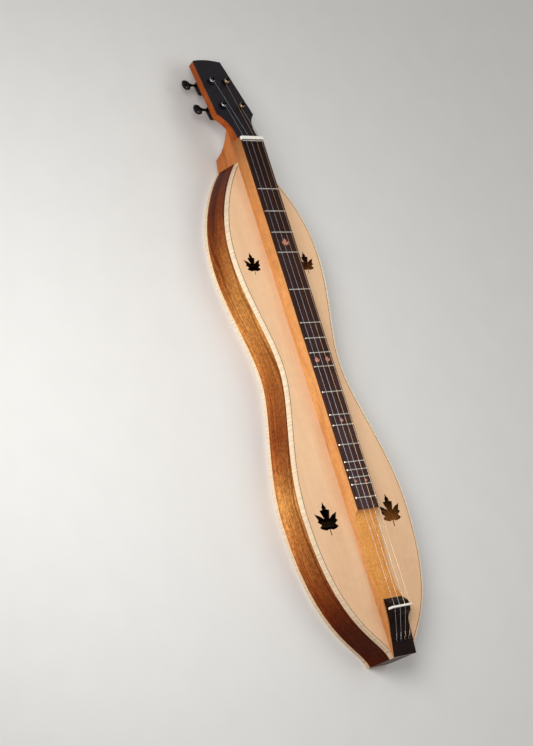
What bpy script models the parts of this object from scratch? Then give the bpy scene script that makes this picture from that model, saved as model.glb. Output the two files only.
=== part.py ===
"""Mountain dulcimer: a fretted zither with an hourglass body and four strings.

Metres, +Z up. The dulcimer lies on its back. X runs along the strings towards the peghead,
Y runs across towards the player's side, and the origin is in the middle of the back.
"""
import math

import bmesh
import bpy
import numpy as np
from mathutils import Matrix, Vector

# Strings
SCALE_LENGTH = 0.6731
SADDLE_SETBACK = 0.0015
STRING_SPACING = 0.0098
STRING_DIAMETERS = (0.00030, 0.00036, 0.00056, 0.00066)

# Body
NECK_RUN = 0.0190
TAIL_RUN = 0.0614
BODY_DEPTH = 0.0520
UPPER_BOUT_WIDTH = 0.1586
WAIST_WIDTH = 0.1092
LOWER_BOUT_WIDTH = 0.1898
UPPER_BOUT_FROM_HEAD = 0.1450
WAIST_FROM_HEAD = 0.3090
LOWER_BOUT_FROM_TAIL = 0.2065
HEEL_RAKE = 0.0066
HEEL_DRAFT = 0.0064
SHOULDER_SHARE = 0.567
HEEL_HANDLE_SHARE = 0.065
TAIL_FLARE = 0.0059
SPAN_POINTS = 13
# Handles of the outline's curves, as shares of the run from one width to the next
UPPER_BOUT_HANDLE = 0.395
WAIST_HEAD_HANDLE = 0.325
WAIST_TAIL_HANDLE = 0.25
LOWER_BOUT_HEAD_HANDLE = 0.38
LOWER_BOUT_TAIL_HANDLE = 0.77
TAIL_FLARE_HANDLE = 0.14

# Plates, sides and trim
SOUNDBOARD_THICKNESS = 0.0030
BACK_THICKNESS = 0.0030
RIB_THICKNESS = 0.0025
BINDING_THICKNESS = 0.0025
TOP_BINDING_HEIGHT = 0.0070
BACK_BINDING_HEIGHT = 0.0055
LINING_THICKNESS = 0.0060
LINING_HEIGHT = 0.0100
LINING_SLOPE = 0.0040
LINING_END_THICKNESS = 0.0015
LINING_RAMP = 0.0120
LINING_RAMP_DELAY = 0.5
HEEL_BLOCK_LENGTH = 0.0340
TAIL_BLOCK_LENGTH = 0.0300
BRACE_WIDTH = 0.0080
BRACE_HEIGHT = 0.0110
BRACE_TIP_HEIGHT = 0.0030
BRACE_TIP_LENGTH = 0.0200
SOUNDBOARD_BRACES_FROM_HEAD = (0.0950, 0.2750)
BACK_BRACES_FROM_HEAD = (0.1400, 0.5200)

# Sound holes: the tip of each leaf, and its size against the large one
LARGE_LEAF_LENGTH = 0.0385
LARGE_LEAF_WIDTH = 0.0406
LEAF_STEM_LENGTH = 0.0084
LEAF_STEM_WIDTH = 0.0016
SMALL_LEAF_SCALE = 0.72
SMALL_LEAF_TIP_FROM_HEAD = 0.1389
SMALL_LEAF_OFFSET = 0.0500
LARGE_LEAF_TIP_FROM_TAIL = 0.2198
LARGE_LEAF_OFFSET = 0.0593

# Fretboard
BOARD_WIDTH = 0.0388
FRETBOARD_HEIGHT = 0.0192
FINGERBOARD_THICKNESS = 0.0030
FINGERBOARD_OVERHANG = 0.0158
FRET_SEMITONES = (2, 3, 4, 5, 7, 9, 10, 11, 12, 14, 16, 17, 19, 21, 22, 23, 24, 26)
FRET_WIDTH = 0.0024
FRET_HEIGHT = 0.0010
FRET_END_SLOPE = 0.0007
TANG_WIDTH = 0.0006
TANG_DEPTH = 0.0015

# Strum hollow
HOLLOW_COVE_LENGTH = 0.0300
HOLLOW_HEAD_HEIGHT = 0.0082
HOLLOW_LOW_HEIGHT = 0.0054
HOLLOW_LOW_FROM_CAP = 0.0320
# Handles of the hollow's curves, each as a share of the curve's run and a height
COVE_TOP_HANDLE = (0.07, 0.0030)
COVE_FLOOR_HANDLE = (0.70, 0.0010)
FLOOR_HEAD_HANDLE = (0.35, -0.0003)
FLOOR_TAIL_HANDLE = (0.30, 0.0)
RAMP_FLOOR_HANDLE = (0.60, 0.0)
RAMP_TOP_HANDLE = (0.14, -0.0030)

# Nut and saddle
NUT_SETBACK = 0.0022
NUT_THICKNESS = 0.0050
NUT_TOP_HEIGHT = 0.0241
SADDLE_THICKNESS = 0.0030
SADDLE_LENGTH = 0.0358
SADDLE_SEAT_HEIGHT = 0.0170
SADDLE_TOP_HEIGHT = 0.0264
NOTCH_DEPTH = 0.0005
NOTCH_MARGIN = 0.00025
EDGE_ROUND = 0.0011

# Tail cap and hitch pins
CAP_WIDTH = 0.0340
CAP_TAIL_WIDTH = 0.0380
CAP_LEAD = 0.0145
CAP_FRONT_HEIGHT = 0.0125
CAP_NOSE = 0.0008
CREST_LEAD = 0.0060
CREST_TRAIL = 0.0078
CREST_HEIGHT = 0.0225
SCOOP_LENGTH = 0.0311
SCOOP_HEIGHT = 0.0080
CAP_TAIL_HEIGHT = 0.0056
CAP_UNDERSIDE_TAIL_HEIGHT = 0.0014
# Handles of the cap's curves, each as a share of the curve's run and a height
CAP_UNDERSIDE_HANDLES = ((0.26, -0.0002), (0.60, -0.0040))
SCOOP_HANDLES = ((0.07, 0.0040), (0.40, 0.0025))
# The rounded corner in front of the crest, as (x, z) points from that corner
CREST_CORNER = ((0.0030, -0.0032), (0.0012, -0.0010), (0.0004, 0.0), (-0.0015, 0.0))
PIN_FROM_SADDLE = 0.0405
PIN_SPACING = 0.0078
PIN_RADIUS = 0.0010
PIN_HEIGHT = 0.0040
PIN_HEAD_RADIUS = 0.0018
PIN_HEAD_HEIGHT = 0.0007
PIN_ROOT = 0.0010
STRING_END_HEIGHT = 0.0014
STRING_SADDLE_DROP = 0.0002

# Peghead and heel, measured in the peghead's own plane from the back of the nut
PEGHEAD_TILT = math.radians(13.8)
PEGHEAD_START_HEIGHT = 0.0162
PEGHEAD_LENGTH = 0.1415
PEGHEAD_CROWN = 0.0025
PEGHEAD_DEPTH = 0.0120
OVERLAY_THICKNESS = 0.0020
PEGHEAD_SHOULDER_AT = 0.0442
PEGHEAD_SHOULDER_WIDTH = 0.0670
PEGHEAD_END_WIDTH = 0.0500
# Handles of its waist, each as a share of the way to the shoulder and a distance outwards
PEGHEAD_WAIST_HANDLES = ((0.41, -0.0042), (0.75, 0.0012))
HEEL_REACH = 0.0262
HEEL_FRONT_TOP_HANDLE = (0.0144, 0.0119)
HEEL_FRONT_TOE_HANDLE = (0.0044, 0.0235)
HEEL_TOE_REACH = 0.0211
HEEL_TOE_HEIGHT = 0.0076
HEEL_TOE_LENGTH = 0.0036
HEEL_TOE_DROP = 0.0006
HEEL_BASE_HEIGHT = 0.0028
HEEL_KEY = 0.0012

# Tuners: the two pairs of posts, then one tuner
POST_PLACES = ((0.0575, 0.0170), (0.1028, 0.0137))
POST_RADIUS = 0.0030
POST_HEIGHT = 0.0092
POST_CHAMFER = 0.0006
POST_SINK = 0.0030
RUNNING_GAP = 0.0001
BARREL_RADIUS = 0.0046
WASHER_RADIUS = 0.0062
WASHER_THICKNESS = 0.0008
BUSHING_HEIGHT = 0.0020
BUSHING_RADIUS = 0.0048
BUSHING_CHAMFER = 0.0004
HOUSING_DEPTH = 0.0115
HOUSING_BELOW_POST = 0.0065
HOUSING_PAST_SHAFT = 0.0045
HOUSING_INWARD = 0.0070
HOUSING_OUTWARD = 0.0105
HOUSING_ROUND = 0.0018
WORM_OFFSET = 0.0088
SHAFT_DROP = 0.0065
SHAFT_RADIUS = 0.0018
SHAFT_INSERT = 0.0080
KNOB_GAP = 0.0105
KNOB_LENGTH = 0.0120
KNOB_WIDTH = 0.0170
KNOB_THICKNESS = 0.0092
KNOB_NECK_RADIUS = 0.0030
KNOB_NECK_LENGTH = 0.0020
KNOB_NECK_CHAMFER = 0.0006
# Shares of the button's half width and of its length from the neck
KNOB_SECTION = ((0.55, 0.0), (0.88, 0.18), (1.0, 0.48), (0.93, 0.78), (0.72, 0.95), (0.35, 1.0), (0.0, 1.0))

# Windings of the strings on their posts
WINDING_TURNS = 3
WINDING_LOOP_POINTS = 24
WINDING_GAP = 0.00050
WINDING_START = 0.0031
WINDING_BEND = 0.0008
STRING_HOLE_RADIUS = 0.0008

# Clearances between pieces that touch
SEAM = 0.0003
FINE_SEAM = 0.00015
CUT_MARGIN = 0.0050
ROUND_SEGMENTS = 20

# Places worked out from the sizes above
BODY_LENGTH = SCALE_LENGTH + SADDLE_SETBACK + TAIL_RUN - NECK_RUN
HEAD_X = BODY_LENGTH / 2
TAIL_X = -BODY_LENGTH / 2
ZERO_FRET_X = HEAD_X + NECK_RUN
SADDLE_X = ZERO_FRET_X - SCALE_LENGTH - SADDLE_SETBACK
NUT_FRONT_X = ZERO_FRET_X + NUT_SETBACK
NUT_BACK_X = NUT_FRONT_X + NUT_THICKNESS
FRETBOARD_TOP = BODY_DEPTH + FRETBOARD_HEIGHT
FINGERBOARD_BASE = FRETBOARD_TOP + SEAM
FINGERBOARD_TOP = FINGERBOARD_BASE + FINGERBOARD_THICKNESS
FRET_TOP = FINGERBOARD_TOP + FINE_SEAM + FRET_HEIGHT
LAST_FRET_X = ZERO_FRET_X - SCALE_LENGTH * (1 - 2 ** (-FRET_SEMITONES[-1] / 12))
FINGERBOARD_END_X = LAST_FRET_X - FINGERBOARD_OVERHANG
CAP_FRONT_X = SADDLE_X + CAP_LEAD
PIN_X = SADDLE_X - PIN_FROM_SADDLE
HEAD_ORIGIN = Vector((NUT_BACK_X, 0, BODY_DEPTH + PEGHEAD_START_HEIGHT))
HEAD_FRAME = Matrix.Translation(HEAD_ORIGIN) @ Matrix.Rotation(PEGHEAD_TILT, 4, "Y")
HOUSING_TOP = -PEGHEAD_DEPTH - SEAM
SHAFT_LEVEL = HOUSING_TOP - SHAFT_DROP
STRING_LANES = [STRING_SPACING * (1.5 - number) for number in range(4)]
PIN_LANES = [PIN_SPACING * (1.5 - number) for number in range(4)]


def clear_scene():
    for item in list(bpy.data.objects):
        bpy.data.objects.remove(item, do_unlink=True)


def make_material(name, color, roughness, metallic=0.0):
    """A plain Principled material from a linear colour."""
    material = bpy.data.materials.new(name)
    material.use_nodes = True
    shader = material.node_tree.nodes["Principled BSDF"]
    shader.inputs["Base Color"].default_value = (*color, 1)
    shader.inputs["Roughness"].default_value = roughness
    shader.inputs["Metallic"].default_value = metallic
    return material


def add_object(name, data, material=None, location=(0, 0, 0), tilt=0.0):
    """Put a mesh or curve in the scene, turned about Y like the peghead where tilt is given."""
    item = bpy.data.objects.new(name, data)
    item.location = location
    item.rotation_euler = (0, tilt, 0)
    bpy.context.scene.collection.objects.link(item)
    if material:
        data.materials.append(material)
    return item


def add_cutter(name, data, location=(0, 0, 0), tilt=0.0):
    cutter = add_object(name, data, None, location, tilt)
    cutter.hide_render = True
    cutter.display_type = "WIRE"
    return cutter


def combine(item, other, operation):
    modifier = item.modifiers.new(operation.title(), "BOOLEAN")
    modifier.operation = operation
    modifier.object = other
    modifier.solver = "EXACT"


def finish_mesh(bm, name, smooth_angle=None):
    """Turn a bmesh into a mesh with its faces pointing out."""
    bmesh.ops.remove_doubles(bm, verts=bm.verts, dist=1e-7)
    bmesh.ops.recalc_face_normals(bm, faces=bm.faces)
    mesh = bpy.data.meshes.new(name)
    bm.to_mesh(mesh)
    bm.free()
    if smooth_angle:
        mesh.shade_smooth()
        mesh.set_sharp_from_angle(angle=math.radians(smooth_angle))
    return mesh


def add_loft(bm, low_ring, high_ring):
    """Close the solid between two rings that have the same number of points."""
    low = [bm.verts.new(point) for point in low_ring]
    high = [bm.verts.new(point) for point in high_ring]
    bm.faces.new(reversed(low))
    bm.faces.new(high)
    for number in range(len(low)):
        following = (number + 1) % len(low)
        bm.faces.new((low[number], low[following], high[following], high[number]))


def loft_mesh(name, low_ring, high_ring, smooth_angle=None):
    bm = bmesh.new()
    add_loft(bm, low_ring, high_ring)
    return finish_mesh(bm, name, smooth_angle)


def side_prism(name, profile, half_width, smooth_angle=None):
    """Extrude a side view, given as (x, z) points, across the instrument."""
    near = [(x, -half_width, z) for x, z in profile]
    far = [(x, half_width, z) for x, z in profile]
    return loft_mesh(name, near, far, smooth_angle)


def plan_prism(name, outline, low, high, smooth_angle=None):
    """Extrude a plan view, given as (x, y) points, upwards."""
    low_ring = [(x, y, low) for x, y in outline]
    high_ring = [(x, y, high) for x, y in outline]
    return loft_mesh(name, low_ring, high_ring, smooth_angle)


def add_box(bm, low, high):
    corners = [(low[0], low[1]), (high[0], low[1]), (high[0], high[1]), (low[0], high[1])]
    add_loft(bm, [(x, y, low[2]) for x, y in corners], [(x, y, high[2]) for x, y in corners])


def turned_mesh(name, profile, segments=ROUND_SEGMENTS, axis="Z", smooth_angle=35):
    """Spin a profile of (radius, height) points about an axis through the origin."""
    bm = bmesh.new()
    verts = [bm.verts.new((radius, 0, height)) for radius, height in profile]
    edges = [bm.edges.new(pair) for pair in zip(verts, verts[1:])]
    bmesh.ops.spin(bm, geom=verts + edges, cent=(0, 0, 0), axis=(0, 0, 1), angle=math.tau,
                   steps=segments, use_merge=True)
    if axis == "Y":
        bm.transform(Matrix.Rotation(-math.pi / 2, 4, "X"))
    return finish_mesh(bm, name, smooth_angle)


def bezier(start, start_handle, end_handle, end, count):
    """Points along a cubic Bezier span, from its start to its end."""
    corners = np.array([start, start_handle, end_handle, end], dtype=float)
    steps = np.linspace(0, 1, count + 1)[:, None]
    weights = ((1 - steps) ** 3, 3 * (1 - steps) ** 2 * steps, 3 * (1 - steps) * steps ** 2, steps ** 3)
    return [tuple(point) for point in sum(weight * corner for weight, corner in zip(weights, corners))]


def handle(point, run, shift):
    """A curve's handle in a side view: a share of the curve's run and a height away from a point."""
    share, rise = shift
    return (point[0] + share * run, point[1] + rise)


def head_point(along, across, above):
    """World place of a point given in the peghead's plane, its overlay's face at zero."""
    return HEAD_FRAME @ Vector((along, across, above))


def tube_curve(name, points, diameter, resolution):
    """A POLY curve with a round bevel and filled caps, as a thin tube."""
    curve = bpy.data.curves.new(name, "CURVE")
    curve.dimensions = "3D"
    curve.bevel_depth = diameter / 2
    curve.bevel_resolution = resolution
    curve.use_fill_caps = True
    spline = curve.splines.new("POLY")
    spline.points.add(len(points) - 1)
    for point, place in zip(spline.points, points):
        point.co = (*place, 1)
    return curve


def head_end_x(z):
    """Where the body ends under the peghead: this end leans, furthest out at the back."""
    return HEAD_X + HEEL_RAKE * (0.5 - z / BODY_DEPTH)


def body_outline():
    """Half the body in plan, on the player's side, from the heel to the tail end."""
    heel = np.array((head_end_x(BODY_DEPTH), BOARD_WIDTH / 2))
    upper = np.array((HEAD_X - UPPER_BOUT_FROM_HEAD, UPPER_BOUT_WIDTH / 2))
    waist = np.array((HEAD_X - WAIST_FROM_HEAD, WAIST_WIDTH / 2))
    lower = np.array((TAIL_X + LOWER_BOUT_FROM_TAIL, LOWER_BOUT_WIDTH / 2))
    tail = np.array((TAIL_X, BOARD_WIDTH / 2))
    head_run = np.array((heel[0] - upper[0], 0))
    upper_run = np.array((upper[0] - waist[0], 0))
    waist_run = np.array((waist[0] - lower[0], 0))
    tail_run = np.array((lower[0] - tail[0], 0))
    tail_flare = np.array((TAIL_FLARE_HANDLE * tail_run[0], TAIL_FLARE))
    shoulder_handle = upper + SHOULDER_SHARE * head_run
    spans = (
        (heel, heel + HEEL_HANDLE_SHARE * (shoulder_handle - heel), shoulder_handle, upper),
        (upper, upper - UPPER_BOUT_HANDLE * upper_run, waist + WAIST_HEAD_HANDLE * upper_run, waist),
        (waist, waist - WAIST_TAIL_HANDLE * waist_run, lower + LOWER_BOUT_HEAD_HANDLE * waist_run, lower),
        (lower, lower - LOWER_BOUT_TAIL_HANDLE * tail_run, tail + tail_flare, tail),
    )
    points = [tuple(heel)]
    for span in spans:
        points += bezier(*span, SPAN_POINTS)[1:]
    return points


OUTLINE = body_outline()


def inset_point(number, inset, z):
    """A point of the outline, moved inwards, with both ends kept in the body's end planes."""
    here = Vector(OUTLINE[number])
    before = Vector(OUTLINE[max(number - 1, 0)])
    after = Vector(OUTLINE[min(number + 1, len(OUTLINE) - 1)])
    along = (after - before).normalized()
    inward = Vector((-along.y, along.x))
    point = here + inward * inset
    if number == 0:
        point += along * ((head_end_x(z) - point.x) / along.x)
    if number == len(OUTLINE) - 1:
        point += along * ((TAIL_X - point.x) / along.x)
    return point


def edge_line(inset, z):
    """The outline at one inset and height, from the head end to the tail end."""
    return [inset_point(number, inset, z) for number in range(len(OUTLINE))]


def edge_between(inset, z, head_x, tail_x):
    """The stretch of an edge line between two planes across the body.

    A point within a seam of a plane is left out, as the corner on the plane takes its place.
    """
    line = edge_line(inset, z)
    xs = [point.x for point in reversed(line)]
    ys = [point.y for point in reversed(line)]
    inner = [(point.x, point.y) for point in line if tail_x + SEAM < point.x < head_x - SEAM]
    first = (head_x, float(np.interp(head_x, xs, ys)))
    last = (tail_x, float(np.interp(tail_x, xs, ys)))
    return [first, *inner, last]


def closed_ring(half, z):
    """Both sides of the body as one ring, from the half on the player's side."""
    near = [(x, -y, z) for x, y in reversed(half)]
    return [(x, y, z) for x, y in half] + near


def half_width_at(x, inset, z):
    line = edge_line(inset, z)
    return float(np.interp(x, [point.x for point in reversed(line)], [point.y for point in reversed(line)]))


def swept_side(name, section_at, side):
    """Sweep a section of (inset, z) points along one side of the body."""
    bm = bmesh.new()
    rings = []
    for number, (x, _) in enumerate(OUTLINE):
        ring = []
        for inset, z in section_at(x):
            point = inset_point(number, inset, z)
            ring.append(bm.verts.new((point.x, side * point.y, z)))
        rings.append(ring)
    bm.faces.new(rings[0])
    bm.faces.new(reversed(rings[-1]))
    for ring, following in zip(rings, rings[1:]):
        for corner in range(len(ring)):
            other = (corner + 1) % len(ring)
            bm.faces.new((ring[corner], ring[other], following[other], following[corner]))
    return finish_mesh(bm, name, 30)


def lining_thickness_at(x):
    """The linings thin out where they meet the end blocks, by a ramp that starts a little past them."""
    head_distance = HEAD_X - HEEL_BLOCK_LENGTH - x
    tail_distance = x - TAIL_X - TAIL_BLOCK_LENGTH
    share = min(1.0, max(0.0, min(head_distance, tail_distance) / LINING_RAMP - LINING_RAMP_DELAY))
    return LINING_END_THICKNESS + share * (LINING_THICKNESS - LINING_END_THICKNESS)


def rib_section(x):
    """A bent side with a lining along its top and its back edge."""
    low = BACK_BINDING_HEIGHT + SEAM
    high = BODY_DEPTH - TOP_BINDING_HEIGHT - SEAM
    ledge = BINDING_THICKNESS + SEAM
    inner = RIB_THICKNESS + lining_thickness_at(x)
    lining_top = BODY_DEPTH - SOUNDBOARD_THICKNESS - SEAM
    lining_base = BACK_THICKNESS + SEAM
    return [
        (0, low), (0, high), (ledge, high), (ledge, lining_top), (inner, lining_top),
        (inner, lining_top - LINING_HEIGHT), (RIB_THICKNESS, lining_top - LINING_HEIGHT - LINING_SLOPE),
        (RIB_THICKNESS, lining_base + LINING_HEIGHT + LINING_SLOPE), (inner, lining_base + LINING_HEIGHT),
        (inner, lining_base), (ledge, lining_base), (ledge, low),
    ]


def binding_section(low, high):
    return [(0, low), (0, high), (BINDING_THICKNESS, high), (BINDING_THICKNESS, low)]


def make_sides(materials):
    for name, side in (("left", 1), ("right", -1)):
        rib = swept_side(f"rib_{name}", rib_section, side)
        add_object(f"rib_{name}", rib, materials["rib_wood"])
        top = swept_side(f"top_binding_{name}",
                         lambda x: binding_section(BODY_DEPTH - TOP_BINDING_HEIGHT, BODY_DEPTH), side)
        add_object(f"top_binding_{name}", top, materials["maple"])
        back = swept_side(f"back_binding_{name}", lambda x: binding_section(0, BACK_BINDING_HEIGHT), side)
        add_object(f"back_binding_{name}", back, materials["maple"])


def leaf_outline(tip_x, center_y, scale):
    """A maple leaf with its tip towards the head, as half its edge and the mirror of it."""
    length = LARGE_LEAF_LENGTH * scale
    half = LARGE_LEAF_WIDTH * scale / 2
    stem = LEAF_STEM_WIDTH * scale / 2
    # Shares of the leaf's length from its base, and of its half width
    lobes = (
        (1.00, 0.00), (0.87, 0.08), (0.79, 0.20), (0.71, 0.17), (0.68, 0.44), (0.55, 0.36), (0.38, 0.24),
        (0.49, 0.54), (0.54, 0.77), (0.59, 1.00), (0.42, 0.84), (0.35, 0.79), (0.29, 0.91), (0.18, 0.61),
        (0.085, 0.84), (0.02, 0.67), (-0.01, 0.46), (-0.03, 0.29), (0.00, 0.12),
    )
    base_x = tip_x - length
    edge = [(base_x + along * length, across * half) for along, across in lobes]
    edge += [(base_x, stem), (base_x - LEAF_STEM_LENGTH * scale, stem)]
    mirror = [(x, -y) for x, y in reversed(edge) if y > 0]
    return [(x, center_y + y) for x, y in edge + mirror]


def make_soundboard(materials):
    half = edge_between(BINDING_THICKNESS + SEAM, BODY_DEPTH, head_end_x(BODY_DEPTH), TAIL_X)
    low = BODY_DEPTH - SOUNDBOARD_THICKNESS
    mesh = loft_mesh("soundboard", closed_ring(half, low), closed_ring(half, BODY_DEPTH), 30)
    soundboard = add_object("soundboard", mesh, materials["spruce"])
    leaves = (
        (HEAD_X - SMALL_LEAF_TIP_FROM_HEAD, SMALL_LEAF_OFFSET, SMALL_LEAF_SCALE),
        (TAIL_X + LARGE_LEAF_TIP_FROM_TAIL, LARGE_LEAF_OFFSET, 1.0),
    )
    bm = bmesh.new()
    for tip_x, offset, scale in leaves:
        for side in (1, -1):
            outline = leaf_outline(tip_x, side * offset, scale)
            add_loft(bm, [(x, y, low - CUT_MARGIN) for x, y in outline],
                     [(x, y, BODY_DEPTH + CUT_MARGIN) for x, y in outline])
    combine(soundboard, add_cutter("leaf_cutter", finish_mesh(bm, "leaf_cutter")), "DIFFERENCE")


def make_back(materials):
    half = edge_between(BINDING_THICKNESS + SEAM, 0, head_end_x(BACK_THICKNESS), TAIL_X)
    mesh = loft_mesh("back_plate", closed_ring(half, 0), closed_ring(half, BACK_THICKNESS), 30)
    add_object("back_plate", mesh, materials["rib_wood"])


def make_brace(name, x, base, direction, inset, materials):
    """A bar across the inside of a plate, with its two ends thinned."""
    half = half_width_at(x - BRACE_WIDTH / 2, inset, base)
    half = min(half, half_width_at(x + BRACE_WIDTH / 2, inset, base))
    full = base + direction * BRACE_HEIGHT
    tip = base + direction * BRACE_TIP_HEIGHT
    profile = [(-half, base), (half, base), (half, tip), (half - BRACE_TIP_LENGTH, full),
               (BRACE_TIP_LENGTH - half, full), (-half, tip)]
    near = [(x - BRACE_WIDTH / 2, y, z) for y, z in profile]
    far = [(x + BRACE_WIDTH / 2, y, z) for y, z in profile]
    add_object(name, loft_mesh(name, near, far), materials["spruce"])


def make_braces(materials):
    inset = RIB_THICKNESS + LINING_THICKNESS + SEAM
    for number, distance in enumerate(SOUNDBOARD_BRACES_FROM_HEAD, 1):
        base = BODY_DEPTH - SOUNDBOARD_THICKNESS - SEAM
        make_brace(f"soundboard_brace_{number}", HEAD_X - distance, base, -1, inset, materials)
    for number, distance in enumerate(BACK_BRACES_FROM_HEAD, 1):
        base = BACK_THICKNESS + SEAM
        make_brace(f"back_brace_{number}", HEAD_X - distance, base, 1, inset, materials)


def block_mesh(name, tail_x, head_x=None):
    """A block between the plates and the two sides. Without a head end it reaches into the heel."""
    inset = RIB_THICKNESS + LINING_END_THICKNESS + SEAM
    rings = []
    for z in (BACK_THICKNESS + SEAM, BODY_DEPTH - SOUNDBOARD_THICKNESS - SEAM):
        half = edge_between(inset, z, head_x or head_end_x(z), tail_x)
        if head_x is None:
            half.insert(0, (head_end_x(z) + SEAM + HEEL_KEY, half[0][1]))
        rings.append(closed_ring(half, z))
    return loft_mesh(name, *rings)


def heel_profile():
    """Side view of the heel outside the body: its top, the hollow front, the toe and the underside."""
    back_level = -PEGHEAD_DEPTH - SEAM
    rise = PEGHEAD_START_HEIGHT + back_level * math.cos(PEGHEAD_TILT)
    bend = head_point(rise / math.sin(PEGHEAD_TILT), 0, back_level)
    tip = head_point(HEEL_REACH, 0, back_level)
    top = np.array((tip.x, tip.z))
    toe = np.array((HEAD_X + HEEL_TOE_REACH, HEEL_TOE_HEIGHT))
    front = bezier(top, top - HEEL_FRONT_TOP_HANDLE, toe + HEEL_FRONT_TOE_HANDLE, toe, 12)
    sole = toe - (HEEL_TOE_LENGTH, HEEL_TOE_DROP)
    top_corner = (head_end_x(BODY_DEPTH) + SEAM, BODY_DEPTH)
    base_corner = (head_end_x(HEEL_BASE_HEIGHT) + SEAM, HEEL_BASE_HEIGHT)
    return [top_corner, (bend.x, bend.z), *front, tuple(sole), base_corner]


def make_blocks(materials):
    bm = bmesh.new()
    rings = ([], [])
    for x, z in heel_profile():
        half = BOARD_WIDTH / 2 - HEEL_DRAFT * (1 - z / BODY_DEPTH)
        rings[0].append((x, -half, z))
        rings[1].append((x, half, z))
    add_loft(bm, *rings)
    heel = add_object("heel_block", finish_mesh(bm, "heel_block", 30), materials["heel_wood"])
    inner = block_mesh("heel_inner_block", HEAD_X - HEEL_BLOCK_LENGTH)
    combine(heel, add_cutter("heel_inner_block", inner), "UNION")
    tail = block_mesh("tail_block", TAIL_X, TAIL_X + TAIL_BLOCK_LENGTH)
    add_object("tail_block", tail, materials["heel_wood"])


def cap_underside():
    """The line between the fretboard and the tail cap, from its front to the tail."""
    front = (CAP_FRONT_X, BODY_DEPTH + CAP_FRONT_HEIGHT)
    tail = (TAIL_X, BODY_DEPTH + CAP_UNDERSIDE_TAIL_HEIGHT)
    handles = [handle(front, TAIL_X - CAP_FRONT_X, shift) for shift in CAP_UNDERSIDE_HANDLES]
    return bezier(front, *handles, tail, 8)


def fretboard_profile():
    """Side view of the fretboard: full height, the strum hollow, then the seat of the tail cap."""
    base = BODY_DEPTH + SEAM
    floor = BODY_DEPTH + HOLLOW_HEAD_HEIGHT
    low = BODY_DEPTH + HOLLOW_LOW_HEIGHT
    cap_front = (CAP_FRONT_X, BODY_DEPTH + CAP_FRONT_HEIGHT)
    cove_end = (FINGERBOARD_END_X - HOLLOW_COVE_LENGTH, floor)
    lowest = (CAP_FRONT_X + HOLLOW_LOW_FROM_CAP, low)
    run = cove_end[0] - lowest[0]
    cove = bezier((FINGERBOARD_END_X, FRETBOARD_TOP),
                  handle((FINGERBOARD_END_X, floor), -HOLLOW_COVE_LENGTH, COVE_TOP_HANDLE),
                  handle(cove_end, HOLLOW_COVE_LENGTH, COVE_FLOOR_HANDLE), cove_end, 9)
    floor_line = bezier(cove_end, handle(cove_end, -run, FLOOR_HEAD_HANDLE),
                        handle(lowest, run, FLOOR_TAIL_HANDLE), lowest, 4)
    ramp = bezier(lowest, handle(lowest, -HOLLOW_LOW_FROM_CAP, RAMP_FLOOR_HANDLE),
                  handle(cap_front, HOLLOW_LOW_FROM_CAP, RAMP_TOP_HANDLE), cap_front, 7)
    return [(TAIL_X, base), (NUT_BACK_X, base), (NUT_BACK_X, FRETBOARD_TOP),
            *cove, *floor_line[1:], *ramp[1:], *cap_underside()[1:]]


def cap_scoop():
    """The cap's top behind the saddle, from its crest to the tail end."""
    crest = BODY_DEPTH + CREST_HEIGHT
    start = (SADDLE_X - CREST_TRAIL, crest)
    end = (start[0] - SCOOP_LENGTH, BODY_DEPTH + SCOOP_HEIGHT)
    handles = [handle((start[0], end[1]), -SCOOP_LENGTH, shift) for shift in SCOOP_HANDLES]
    return [*bezier(start, *handles, end, 9), (TAIL_X, BODY_DEPTH + CAP_TAIL_HEIGHT)]


def cap_profile():
    """Side view of the tail cap: nose, ramp, crest with the saddle, scoop and tail."""
    crest = BODY_DEPTH + CREST_HEIGHT
    crest_x = SADDLE_X + CREST_LEAD
    nose = (CAP_FRONT_X, BODY_DEPTH + CAP_FRONT_HEIGHT + SEAM + CAP_NOSE)
    shoulder = bezier(*[(crest_x + x, crest + z) for x, z in CREST_CORNER], 4)
    seat = [(x, z + SEAM) for x, z in reversed(cap_underside())]
    return [*seat, nose, *shoulder, *cap_scoop()]


def cap_height_at(x):
    """Height of the cap's top behind the saddle."""
    top = cap_scoop()[::-1]
    return float(np.interp(x, [point[0] for point in top], [point[1] for point in top]))


def make_fretboard(materials):
    mesh = side_prism("fretboard_body", fretboard_profile(), BOARD_WIDTH / 2, 30)
    add_object("fretboard_body", mesh, materials["mahogany"])


def fret_places():
    return [ZERO_FRET_X - SCALE_LENGTH * (1 - 2 ** (-steps / 12)) for steps in FRET_SEMITONES]


def make_fingerboard(materials):
    profile = [(FINGERBOARD_END_X, FINGERBOARD_BASE), (NUT_FRONT_X - SEAM, FINGERBOARD_BASE),
               (NUT_FRONT_X - SEAM, FINGERBOARD_TOP), (FINGERBOARD_END_X, FINGERBOARD_TOP)]
    mesh = side_prism("fingerboard", profile, BOARD_WIDTH / 2)
    fingerboard = add_object("fingerboard", mesh, materials["rosewood"])
    half_slot = TANG_WIDTH / 2 + FINE_SEAM
    slot_floor = FINGERBOARD_TOP - TANG_DEPTH - FINE_SEAM
    bm = bmesh.new()
    for x in [ZERO_FRET_X, *fret_places()]:
        add_box(bm, (x - half_slot, -BOARD_WIDTH / 2 - CUT_MARGIN, slot_floor),
                (x + half_slot, BOARD_WIDTH / 2 + CUT_MARGIN, FINGERBOARD_TOP + CUT_MARGIN))
    combine(fingerboard, add_cutter("fret_slots", finish_mesh(bm, "fret_slots")), "DIFFERENCE")


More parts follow.
